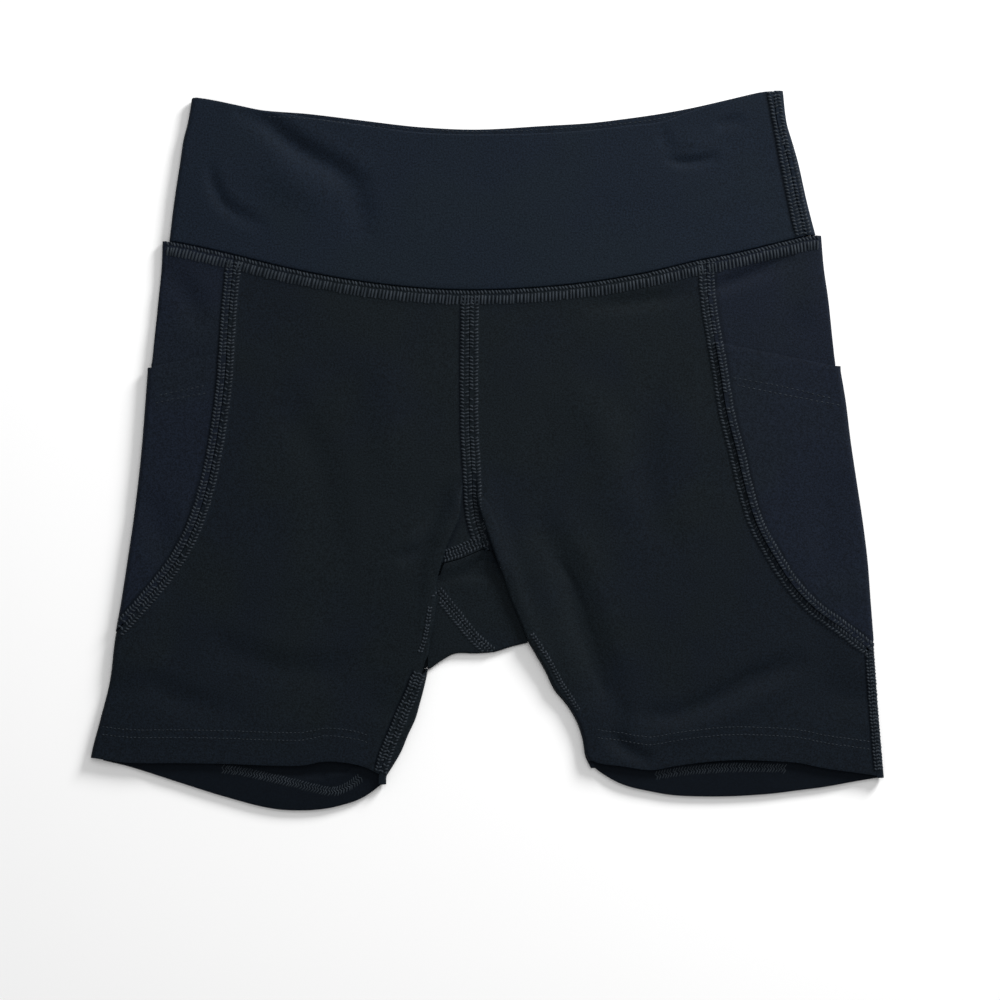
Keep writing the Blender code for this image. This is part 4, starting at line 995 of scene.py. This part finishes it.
def valley(places):
    """How far the front sinks round the end of the centre seam, and the painted shade along its sides."""
    from_left = beside(smooth_line(VALLEY_LEFT, 4), places)[0]
    from_right = -beside(smooth_line(VALLEY_RIGHT, 4), places)[0]
    share = step_up(places[:, 1], VALLEY_TOP.none, VALLEY_TOP.full)
    share *= step_up(places[:, 1], VALLEY_END.none, VALLEY_END.full)
    inside = step_up(from_left, VALLEY_SIDE.none, VALLEY_SIDE.full)
    inside *= step_up(from_right, VALLEY_SIDE.none, VALLEY_SIDE.full)
    near = np.minimum(np.abs(from_left), np.abs(from_right))
    share = share * inside
    return VALLEY_DEPTH * share, VALLEY_SHADE * share * np.exp(-((near / VALLEY_SHADE_REACH) ** 2))


def front_relief(places):
    rise_by, shade = seamed(places, SEAMS)
    sunk, sunk_shade = valley(places)
    height = rise_by + creased(places, CREASES) + uneven(places) - sunk
    return height, np.maximum(shade, sunk_shade)


def back_relief(places):
    """How far the outer face lifts off the ground, which it never goes below, and its painted shade: under
    the seams, and inside the back's hem where it shows below the front's hem.
    """
    rise_by, shade = seamed(places, BACK_SEAMS)
    below = [front_hem[LEFT if x < 0 else RIGHT](x) - y for x, y in places]
    # painted shade on the back's inside below the front's hem
    shade = np.maximum(shade, SHADE_INSIDE_HEM * step_up(np.array(below), -3.0, 1.0))
    lift = np.maximum(creased(places, BACK_CREASES), 0) + np.maximum(uneven(places), 0)
    return lift + rise_by * LIFT_AT_SEAMS, shade


# Materials.
Cloth = namedtuple("Cloth", "dark light blue")
CLOTHS = {
    "body_knit": Cloth((0.0014, 0.0030, 0.0042), (0.0060, 0.0100, 0.0136), (0.0030, 0.0056, 0.0106)),
    "side_knit": Cloth((0.0018, 0.0036, 0.0066), (0.0076, 0.0120, 0.0196), (0.0044, 0.0072, 0.0152)),
    "band_knit": Cloth((0.0024, 0.0050, 0.0090), (0.0078, 0.0136, 0.0216), (0.0046, 0.0084, 0.0164)),
}
WALE = 0.00047
COURSE = 0.00041
WEAVE_SHARE = 0.3
MOTTLE = 0.55
THREAD_DARK = (0.0105, 0.015, 0.020, 1)
THREAD_LIGHT = (0.0225, 0.029, 0.037, 1)
MIDDLE_HUE = Rise(0.075, 0.21)  # metres from the middle, where the cloth turns from grey to blue
MOTTLE_SCALE = 1150.0
PATCHES_SCALE = 17.0
WAVE_UNEVENNESS = {"Distortion": 4.5, "Detail": 2.0, "Detail_Scale": 0.6}
SHADED = (0.0001, 0.0016, 0.0042, 1)  # painted shade: the colour the shade attribute darkens the cloth towards, in grooves, the crotch's valley, under its seams and inside the back's hem


def new_material(name):
    material = bpy.data.materials.new(name)
    material.use_nodes = True
    nodes = material.node_tree.nodes
    return material, nodes, nodes["Principled BSDF"]


def set_inputs(node, **values):
    """Sets inputs of a node. In a name here, _ stands for a space."""
    for name, value in values.items():
        node.inputs[name.replace("_", " ")].default_value = value


def add_node(nodes, kind, **settings):
    """A shader node with its own settings, and its inputs by name."""
    node = nodes.new("ShaderNode" + kind)
    for name, value in settings.items():
        if hasattr(node, name):
            setattr(node, name, value)
        else:
            set_inputs(node, **{name: value})
    return node


def wire(material, *rows):
    """Links, a row for each: from this output of one node to that input of another."""
    for source, output, target, socket in rows:
        material.node_tree.links.new(source.outputs[output], target.inputs[socket])


def wave_scale(pitch):
    """The wave texture's own scale for bands this far apart."""
    return 2 * pi / (20 * pitch)


def knit_material(name, cloth):
    """Fine warp knit: wales and courses in the bump, a mottled yarn, a slow drift of hue, and painted shade
    where the mesh's shade attribute darkens the colour.
    """
    material, nodes, shader = new_material(name)
    where = add_node(nodes, "TexCoord")
    mottle = add_node(nodes, "TexNoise", Scale=MOTTLE_SCALE, Detail=3.0, Roughness=0.7)
    patches = add_node(nodes, "TexNoise", Scale=PATCHES_SCALE, Detail=2.0, Roughness=0.5)
    wales, courses = (
        add_node(nodes, "TexWave", bands_direction=way, Scale=wave_scale(pitch), **WAVE_UNEVENNESS)
        for way, pitch in (("X", WALE), ("Y", COURSE))
    )
    contrast = add_node(nodes, "MapRange", From_Min=0.36, From_Max=0.64)
    yarn = add_node(nodes, "Mix", data_type="RGBA", A=(*cloth.dark, 1), B=(*cloth.light, 1))
    from_middle = add_node(nodes, "VectorMath", operation="LENGTH")
    outwards = add_node(nodes, "MapRange", To_Min=-0.08, To_Max=0.14)
    set_inputs(outwards, From_Min=MIDDLE_HUE.full, From_Max=MIDDLE_HUE.none)
    blend = add_node(nodes, "Math", operation="ADD")
    drift = add_node(nodes, "MapRange", From_Min=0.42, From_Max=0.60, To_Max=0.6)
    low, high = ((*(part * share for part in cloth.blue), 1) for share in (1 - MOTTLE, 1 + MOTTLE))
    cooler = add_node(nodes, "Mix", data_type="RGBA", A=low, B=high)
    hue = add_node(nodes, "Mix", data_type="RGBA")
    shade = add_node(nodes, "Attribute", attribute_name="shade")
    # Painted shade: the mesh's shade attribute mixes the cloth's colour towards SHADED.
    darker = add_node(nodes, "Mix", data_type="RGBA", B=SHADED)
    weave = add_node(nodes, "Math", operation="MULTIPLY")
    height = add_node(nodes, "Math", operation="MULTIPLY_ADD")
    height.inputs[1].default_value = WEAVE_SHARE
    bump = add_node(nodes, "Bump", Strength=0.45, Distance=0.00028)
    gloss = add_node(nodes, "MapRange", To_Min=0.58, To_Max=0.78)
    wire(
        material,
        *((where, "Object", texture, "Vector") for texture in (mottle, patches, wales, courses)),
        (mottle, "Fac", contrast, "Value"),
        (contrast, "Result", yarn, "Factor"),
        (where, "Object", from_middle, 0),
        (from_middle, "Value", outwards, "Value"),
        (patches, "Fac", blend, 0),
        (outwards, "Result", blend, 1),
        (blend, "Value", drift, "Value"),
        (drift, "Result", hue, "Factor"),
        (yarn, "Result", hue, "A"),
        (contrast, "Result", cooler, "Factor"),
        (cooler, "Result", hue, "B"),
        (shade, "Fac", darker, "Factor"),
        (hue, "Result", darker, "A"),
        (darker, "Result", shader, "Base Color"),
        (wales, "Fac", weave, 0),
        (courses, "Fac", weave, 1),
        (weave, "Value", height, 0),
        (mottle, "Fac", height, 2),
        (height, "Value", bump, "Height"),
        (bump, "Normal", shader, "Normal"),
        (mottle, "Fac", gloss, "Value"),
        (gloss, "Result", shader, "Roughness"),
    )
    set_inputs(shader, Specular_IOR_Level=0.08, Sheen_Weight=0.013, Sheen_Roughness=0.35)
    set_inputs(shader, Sheen_Tint=(0.55, 0.72, 1.0, 1))
    return material


def thread_material(name):
    """Textured nylon sewing thread, lighter than the cloth, with a fine twist."""
    material, nodes, shader = new_material(name)
    where = add_node(nodes, "TexCoord")
    fibre = add_node(nodes, "TexNoise", Scale=2600.0, Detail=2.0)
    batch = add_node(nodes, "TexNoise", Scale=240.0, Detail=1.0)
    tone = add_node(nodes, "MapRange", From_Min=0.3, From_Max=0.7)
    colour = add_node(nodes, "Mix", data_type="RGBA", A=THREAD_DARK, B=THREAD_LIGHT)
    bump = add_node(nodes, "Bump", Strength=0.3, Distance=0.0001)
    wire(
        material,
        (where, "Object", fibre, "Vector"),
        (where, "Object", batch, "Vector"),
        (batch, "Fac", tone, "Value"),
        (tone, "Result", colour, "Factor"),
        (colour, "Result", shader, "Base Color"),
        (fibre, "Fac", bump, "Height"),
        (bump, "Normal", shader, "Normal"),
    )
    set_inputs(shader, Roughness=0.6, Specular_IOR_Level=0.12, Sheen_Weight=0.02)
    set_inputs(shader, Sheen_Roughness=0.4, Sheen_Tint=(0.75, 0.82, 0.95, 1))
    return material


materials = {slot: knit_material(slot, cloth) for slot, cloth in CLOTHS.items()}
materials["thread"] = thread_material("thread")


def settle(piece, slot):
    piece.data.materials.append(materials[slot])
    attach(piece, "root")


ROUNDING = 0.42  # how far the cut and folded edges are rounded, as a share of the wall


def make_piece(name, patches, wall, slot, hem=None):
    """One cut piece as a thin shell on its solid's form: welded, creased, and thickened inwards."""
    surface = bmesh.new()
    for points in patches:
        rows, columns = points.shape[:2]
        corners = [surface.verts.new(point) for point in points.reshape(-1, 3)]
        for row in range(rows - 1):
            for column in range(columns - 1):
                at = row * columns + column
                ring = (at, at + 1, at + columns + 1, at + columns)
                surface.faces.new([corners[i] for i in ring])
    bmesh.ops.remove_doubles(surface, verts=surface.verts, dist=0.02)
    bmesh.ops.dissolve_degenerate(surface, edges=surface.edges, dist=0.01)
    bmesh.ops.recalc_face_normals(surface, faces=surface.faces)
    lowest = min(surface.faces, key=lambda face: face.calc_center_median().z)
    highest = max(surface.faces, key=lambda face: face.calc_center_median().z)
    on_ground = lowest.calc_center_median().z < CLOTH
    faces_in = lowest.normal.z > 0 if on_ground else highest.normal.z < 0
    if faces_in:
        bmesh.ops.reverse_faces(surface, faces=surface.faces)
    mesh = bpy.data.meshes.new(name)
    surface.to_mesh(mesh)
    surface.free()

    places = np.empty(len(mesh.vertices) * 3)
    mesh.vertices.foreach_get("co", places)
    places = places.reshape(-1, 3)
    facing = np.array([vertex.normal.z for vertex in mesh.vertices])
    doubled = [i for i, place in enumerate(places) if hem and hem(*place)]
    top, top_shade = front_relief(places[:, :2])
    under, under_shade = back_relief(places[:, :2])
    on_top = step_up(facing, 0.1, 0.8)
    beneath = step_up(-facing, 0.5, 0.95) * (places[:, 2] < 1.0)
    # The shade attribute is painted shade, which the cloth's material mixes into its colour: the front's on
    # faces turned up, the back's on faces turned down near the ground.
    shade = top_shade * on_top + under_shade * beneath
    thickest = HEM_CLOTH if hem else wall
    least = np.maximum(np.minimum(places[:, 2], thickest + OFF_GROUND), 0)
    places[:, 2] = np.maximum(places[:, 2] + top * on_top + under * beneath, least)
    mesh.vertices.foreach_set("co", ((places - CENTRE) * MM).ravel())
    mesh.attributes.new("shade", "FLOAT", "POINT").data.foreach_set("value", shade)
    mesh.shade_smooth()

    piece = bpy.data.objects.new(name + "_cloth", mesh)
    bpy.context.scene.collection.objects.link(piece)
    thicken = piece.modifiers.new("wall", "SOLIDIFY")
    thicken.offset = -1
    thicken.thickness = wall * MM
    if hem:
        group = piece.vertex_groups.new(name="hem")
        group.add(doubled, 1.0, "REPLACE")
        thicken.thickness = HEM_CLOTH * MM
        thicken.vertex_group = group.name
        thicken.thickness_vertex_group = wall / HEM_CLOTH
    soften = piece.modifiers.new("edge", "BEVEL")
    soften.width = ROUNDING * wall * MM
    soften.segments = 3
    soften.limit_method = "ANGLE"
    soften.angle_limit = radians(60)
    settle(piece, slot)
    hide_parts(name)
    shells[name] = piece
    return piece


shells = {}

# Threads.


def resting(places, from_below=False):
    """Heights of the dressed cloth at places, met from above or from below."""
    way = Vector((0, 0, 1 if from_below else -1))
    start = -50 * MM if from_below else 50 * MM
    heights = np.zeros(len(places))
    for i, (x, y) in enumerate(places):
        at = Vector(((x - CENTRE[0]) * MM, (y - CENTRE[1]) * MM, start))
        hit = cloth_tree.ray_cast(at, way)[0]
        heights[i] = hit.z / MM if hit else np.nan
    return heights


def paced(path, pitch):
    """Places a pitch apart along a path, with the heading and the left-hand side at each."""
    runs = np.linalg.norm(np.diff(path, axis=0), axis=1)
    along = np.concatenate([[0], np.cumsum(runs)])
    at = np.arange(pitch / 2, along[-1], pitch)
    places = np.stack([np.interp(at, along, path[:, axis]) for axis in (0, 1)], axis=1)
    ahead = np.stack([np.interp(at + 0.5, along, path[:, axis]) for axis in (0, 1)], axis=1)
    behind = np.stack([np.interp(at - 0.5, along, path[:, axis]) for axis in (0, 1)], axis=1)
    heading = ahead - behind
    heading /= np.linalg.norm(heading, axis=1)[:, None]
    left = np.stack([-heading[:, 1], heading[:, 0]], axis=1)
    return places, heading, left


# A column of a seam: where its threads start and end across it, how far they lean along it, how high
# they arch and how thick they are.
Column = namedtuple("Column", "start end lean arch radius")
# The seam's half width is 1 here.
FLAT_SEAM = (
    Column(-1.0, -0.66, 0.7, 0.4, 0.5),
    Column(-0.44, -0.06, -0.6, 0.36, 0.46),
    Column(0.06, 0.44, 0.6, 0.36, 0.46),
    Column(0.66, 1.0, -0.7, 0.4, 0.5),
)
# The backs of the hems' cover stitches, which show on the inside of the back.
LOOPER = (
    Column(-1.0, -0.2, 1.2, 0.28, 0.3),
    Column(-0.3, 0.3, -1.1, 0.28, 0.28),
    Column(0.2, 1.0, 1.2, 0.28, 0.3),
)
LOOPER_HALF = 2.3
WAIST_COLUMNS = (
    Column(-1.0, 0.24, 0.4, 0.44, 0.6),
    Column(0.52, 0.94, -0.9, 0.4, 0.5),
)
STITCH_PITCH = 1.84
MOST_DROP = 1.6  # a strand whose ends lie further apart in height would hang over an edge
BEND_POINTS = 4


def laid(paces, across, forward, from_below):
    """Where strands lie, as their places and the cloth's heights there."""
    places, heading, left = paces
    flat = places[:, None] + left[:, None] * across[..., None] + heading[:, None] * forward[..., None]
    return flat, resting(flat.reshape(-1, 2), from_below).reshape(flat.shape[:2])


def crossing(path, columns, half, centre=0.0, pitch=STITCH_PITCH, from_below=False, seed=1):
    """Strands of thread across a seam, as a list of (points, radius)."""
    random = np.random.default_rng(seed)
    paces = paced(path, pitch)
    count = len(paces[0])
    strands = []
    t = np.linspace(-1, 1, BEND_POINTS)
    for column in columns:
        middle = (column.start + column.end) / 2 * half + centre
        reach = (column.end - column.start) / 2 * half
        wander = random.normal(0, 0.12, (count, 1))
        across = middle + reach * t[None, :] * random.normal(1, 0.06, (count, 1)) + wander
        forward = column.lean / 2 * t[None, :] + random.normal(0, 0.14, (count, 1))
        flat, heights = laid(paces, across, forward, from_below)
        arch = column.arch * (1 - t**4)[None, :] - 0.16
        arch = arch * random.normal(1, 0.12, (count, 1))
        ends = heights[:, [0, -1]]
        level = np.ptp(ends, axis=1) < MOST_DROP
        # Where the strand crosses the gap of the seam it stays level with its ends.
        if from_below:
            heights = np.minimum(heights, ends.max(axis=1)[:, None]) - arch
        else:
            heights = np.maximum(heights, ends.min(axis=1)[:, None]) + arch
        strands.append((np.dstack([flat, heights])[level], column.radius))
    return strands


def running(path, length, pitch, radius, arch=0.2, offset=0.0, from_below=False, seed=1):
    """A row of single stitches that lie along a path."""
    random = np.random.default_rng(seed)
    paces = paced(path, pitch)
    count = len(paces[0])
    t = np.linspace(-1, 1, BEND_POINTS)
    forward = length / 2 * t[None, :] + random.normal(0, 0.08, (count, 1))
    across = offset + random.normal(0, 0.07, (count, 1))
    flat, heights = laid(paces, across, forward, from_below)
    rise_by = arch * (1 - t**2)[None, :] - 0.12
    heights += -rise_by if from_below else rise_by
    return [(np.dstack([flat, heights]), radius)]


TUBE_SIDES = 6
TUBE_HEIGHT = 0.8  # a thread is pressed this flat, as a share of its width
CLEAR_OF_GROUND = 0.02


def new_piece(name, points, faces, slot):
    mesh = bpy.data.meshes.new(name)
    mesh.from_pydata(((points - CENTRE) * MM).tolist(), [], faces.tolist())
    mesh.shade_smooth()
    piece = bpy.data.objects.new(name, mesh)
    bpy.context.scene.collection.objects.link(piece)
    settle(piece, slot)
    return piece


def make_threads(name, strands):
    """One piece of many short tubes, each along its own strand."""
    turn = np.arange(TUBE_SIDES) * 2 * pi / TUBE_SIDES
    vertices, faces, count = [], [], 0
    for points, radius in strands:
        points = points[~np.isnan(points).any(axis=(1, 2))]
        ahead = np.gradient(points, axis=1)
        ahead /= np.linalg.norm(ahead, axis=2)[..., None] + 1e-9
        side = np.cross(ahead, (0.0, 0.0, 1.0))
        side /= np.linalg.norm(side, axis=2)[..., None] + 1e-9
        up = np.cross(side, ahead)
        ring = side[:, :, None] * np.cos(turn)[:, None]
        ring = ring + up[:, :, None] * np.sin(turn)[:, None] * TUBE_HEIGHT
        tube = points[:, :, None] + ring * radius
        number, length = tube.shape[:2]
        index = count + np.arange(number * length * TUBE_SIDES).reshape(tube.shape[:3])
        after = np.roll(index, -1, axis=2)
        quads = np.stack([index[:, :-1], after[:, :-1], after[:, 1:], index[:, 1:]], axis=-1)
        vertices.append(tube.reshape(-1, 3))
        faces.append(quads.reshape(-1, 4))
        count += tube.size // 3
    vertices = np.concatenate(vertices)
    vertices[:, 2] = np.maximum(vertices[:, 2], CLEAR_OF_GROUND)
    return new_piece(name, vertices, np.concatenate(faces), "thread")


def offset_line(y_of_x, start, end, above):
    return line_across(lambda x: y_of_x(x) + above, start, end)


def sew():
    """Every seam and stitch line, on the face and underneath."""
    made = {}

    def add(name, strands):
        made[name] = make_threads("stitches_" + name, strands)

    for word, seams, seed, below in (("", SEAMS, 0, False), ("back_", BACK_SEAMS, 20, True)):
        for number, (name, seam) in enumerate(seams.items(), seed):
            columns = WAIST_COLUMNS if name == "waist" else FLAT_SEAM
            where = (seam.path, columns, seam.half, seam.centre)
            add(word + name, crossing(*where, from_below=below, seed=number))

    seam_low = smooth_line(((-23.4, -58.4), (-15, -55.8), (-6.5, -51.9), (1.0, -49.4)))
    add("gusset", crossing(seam_low, FLAT_SEAM, 3.0, 2.6, seed=40))
    inseam_top = smooth_line(((-29.4, -82), (-31, -94), (-33, -102), (-35, -107)))
    add("inseam_top", crossing(inseam_top, FLAT_SEAM[:2], 2.0, seed=43))
    diagonal = smooth_line(((-27.4, -74), (-18.4, -84.8), (-12.8, -92), (-7.4, -98.4), (1.6, -106.4)))
    add("diagonal", crossing(diagonal, FLAT_SEAM, 3.0, seed=41))
    inseam = smooth_line(((21.5, -97), (30, -110), (37, -123), (46, -137)))
    add("inseam_right", crossing(inseam, FLAT_SEAM[2:], 2.0, 0.6, seed=42))

    hems = []
    for side, start, end in ((LEFT, -203, -62), (RIGHT, 57, 202)):
        for above in HEM_ROWS:
            for hem, below in ((front_hem[side], False), (back_hem[side], True)):
                path = offset_line(hem, start, end, above)
                hems += running(path, 1.0, 2.1, 0.24, 0.16, from_below=below, seed=int(above))
    add("hems", hems)

    pockets = []
    for points in (
        ((-173, 28.5), (-160, 31.5), (-147, 34)),
        ((-175, 24.5), (-161, 27.6), (-147, 30)),
        ((128, 38), (153, 33.6), (179, 27.3)),
        ((130, 34.2), (158, 28.4), (184, 23.6)),
    ):
        pockets += running(smooth_line(points), 1.2, 2.8, 0.24, 0.17, seed=50)
    add("pockets", pockets)

    loops = []
    left_loop = ((-140, -167.6), (-132, -168.6), (-119, -171.4), (-104, -174.6), (-91, -178))
    left_loop += ((-81, -179.5), (-72, -176), (-66.5, -171.5))
    right_loop = ((88, -171), (98, -169.4), (112, -168), (130, -167), (147, -167), (157, -167.6))
    for number, points in enumerate((left_loop, right_loop)):
        loops += crossing(smooth_line(points), LOOPER, LOOPER_HALF, pitch=1.5, seed=60 + number)
    add("loopers", loops)

    edge = smooth_line(((-116, 175), (-99, 174), (-78, 172), (-46, 169.3), (-13, 167.6), (19, 168)))
    more = smooth_line(((19, 168), (57, 170.4), (82, 173), (100, 176)))
    add("band_top", running(np.vstack([edge, more[1:]]), 1.3, 2.6, 0.25, 0.15, seed=70))
    return made


LIP_ACROSS = (0.75, 0.2, 0.0, 0.2, 0.75, 1.6, 2.8, 4.4, 6.2, 8.0)
LIP_UP = (-1.5, -1.1, -0.4, 0.3, 0.62, 0.66, 0.52, 0.28, 0.02, -0.3)
LIP_FADE = 0.3  # the share of its length over which a lip rises out of the panel, and sinks again
LEVEL_FROM = 2.4  # nearer the fold than this, a lip takes its height from the panel there
SUNK = 0.8


def fold_lip(name, points, inwards):
    """The rolled edge of a soft fold that lies over its neighbour: a strip along the fold's line."""
    places, _, left = paced(smooth_line(points, 12), 0.7)
    panel = left * inwards
    along = np.linspace(0, 1, len(places))
    grown = step_up(along, 0, LIP_FADE) * step_up(along, 1, 1 - LIP_FADE)
    rows = np.empty((len(places), len(LIP_ACROSS), 3))
    for column, (across, up) in enumerate(zip(LIP_ACROSS, LIP_UP)):
        level = resting(places + panel * max(across, LEVEL_FROM))
        rows[:, column, :2] = places + panel * across
        rows[:, column, 2] = level + up * grown - (1 - grown) * SUNK
    count, columns = rows.shape[:2]
    at = np.arange(count * columns).reshape(count, columns)
    quads = np.stack([at[:-1, :-1], at[:-1, 1:], at[1:, 1:], at[1:, :-1]], axis=-1)
    return new_piece(name, rows.reshape(-1, 3), quads.reshape(-1, 4), BODY)


def build_shells():
    waistband("waistband_front")
    waistband("waistband_back")
    for side in (LEFT, RIGHT):
        make_side_panel(side)
        make_pocket(side)
    for side in (LEFT, RIGHT):
        front_leg(side)
    back_leg_left()
    back_leg_right()
    gusset()


def dressed_tree():
    """All the finished shells as one tree for finding heights, in metres."""
    graph = bpy.context.evaluated_depsgraph_get()
    vertices, faces = [], []
    for shell in shells.values():
        mesh = shell.evaluated_get(graph).to_mesh()
        count = len(vertices)
        vertices += [tuple(vertex.co) for vertex in mesh.vertices]
        faces += [[count + i for i in face.vertices] for face in mesh.polygons]
    return BVHTree.FromPolygons(vertices, faces)


# Cut sizes: the flat width and length of each piece, and its flat area.
Cut = namedtuple("Cut", "width length area rests_on")
CUTS = {
    "waistband_front": Cut(0.356, 0.104, 0.0335, "waistband_back"),
    "waistband_back": Cut(0.350, 0.102, 0.0335, "floor"),
    "side_panel_left": Cut(0.162, 0.212, 0.0200, "floor"),
    "side_panel_right": Cut(0.160, 0.220, 0.0200, "floor"),
    "pocket_left": Cut(0.162, 0.152, 0.0140, "side_panel_left_cloth"),
    "pocket_right": Cut(0.170, 0.162, 0.0150, "side_panel_right_cloth"),
    "front_leg_left": Cut(0.210, 0.272, 0.0400, "back_leg_left_cloth"),
    "front_leg_right": Cut(0.215, 0.272, 0.0400, "back_leg_right_cloth"),
    "back_leg_left": Cut(0.215, 0.300, 0.0460, "floor"),
    "back_leg_right": Cut(0.210, 0.290, 0.0460, "floor"),
    "gusset": Cut(0.054, 0.060, 0.0022, "back_leg_left_cloth"),
}

PIXEL = 0.525  # millimetres of the garment's plane to a pixel of the photograph
PICTURE = 1000
VIEW_MIDDLE = (6.3, -26.25)
LENS = 85.0
SENSOR = 36.0
Lamp = namedtuple("Lamp", "name place size power")
LAMPS = (
    Lamp("overhead", (0.2, 0.6, 1.7), 1.2, 8.0),
    Lamp("window", (1.1, 1.25, 0.72), 0.6, 44.0),
)
AMBIENT = 0.42
FLOOR_SIZE = 8.0
FLOOR_BELOW = 0.0004


def set_stage():
    """A pale floor, a wide soft light overhead, a stronger one from the upper right, and the camera."""
    bpy.ops.mesh.primitive_plane_add(size=FLOOR_SIZE, location=(0, 0, -FLOOR_BELOW))
    floor = bpy.context.object
    floor.name = "floor"
    material, _, shader = new_material("paper_white")
    set_inputs(shader, Base_Color=(0.97, 0.97, 0.97, 1), Roughness=0.95, Specular_IOR_Level=0.1)
    floor.data.materials.append(material)

    world = bpy.data.worlds.new("studio")
    bpy.context.scene.world = world
    world.use_nodes = True
    set_inputs(world.node_tree.nodes["Background"], Color=(1, 1, 1, 1), Strength=AMBIENT)
    for lamp in LAMPS:
        light = bpy.data.objects.new(lamp.name, bpy.data.lights.new(lamp.name, "AREA"))
        light.data.shape = "DISK"
        light.data.size = lamp.size
        light.data.energy = lamp.power
        light.location = lamp.place
        aim = Vector((0, 0, 0)) - light.location
        light.rotation_euler = aim.to_track_quat("-Z", "Y").to_euler()
        bpy.context.scene.collection.objects.link(light)

    camera = bpy.data.objects.new("camera", bpy.data.cameras.new("camera"))
    camera.data.lens = LENS
    camera.data.sensor_width = SENSOR
    distance = PICTURE * PIXEL * MM * LENS / SENSOR
    x, y = (middle - origin for middle, origin in zip(VIEW_MIDDLE, CENTRE))
    camera.location = (x * MM, y * MM, distance + FRONT_TOP * MM)
    bpy.context.scene.collection.objects.link(camera)
    bpy.context.scene.camera = camera
    bpy.context.scene.view_settings.view_transform = "Standard"


build_shells()
cloth_tree = dressed_tree()
threads = sew()
threads["fold_left"] = fold_lip("crotch_fold_left", VALLEY_LEFT, -1)
threads["fold_right"] = fold_lip("crotch_fold_right", VALLEY_RIGHT, 1)
set_stage()

for name, cut in CUTS.items():
    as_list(cut.rests_on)
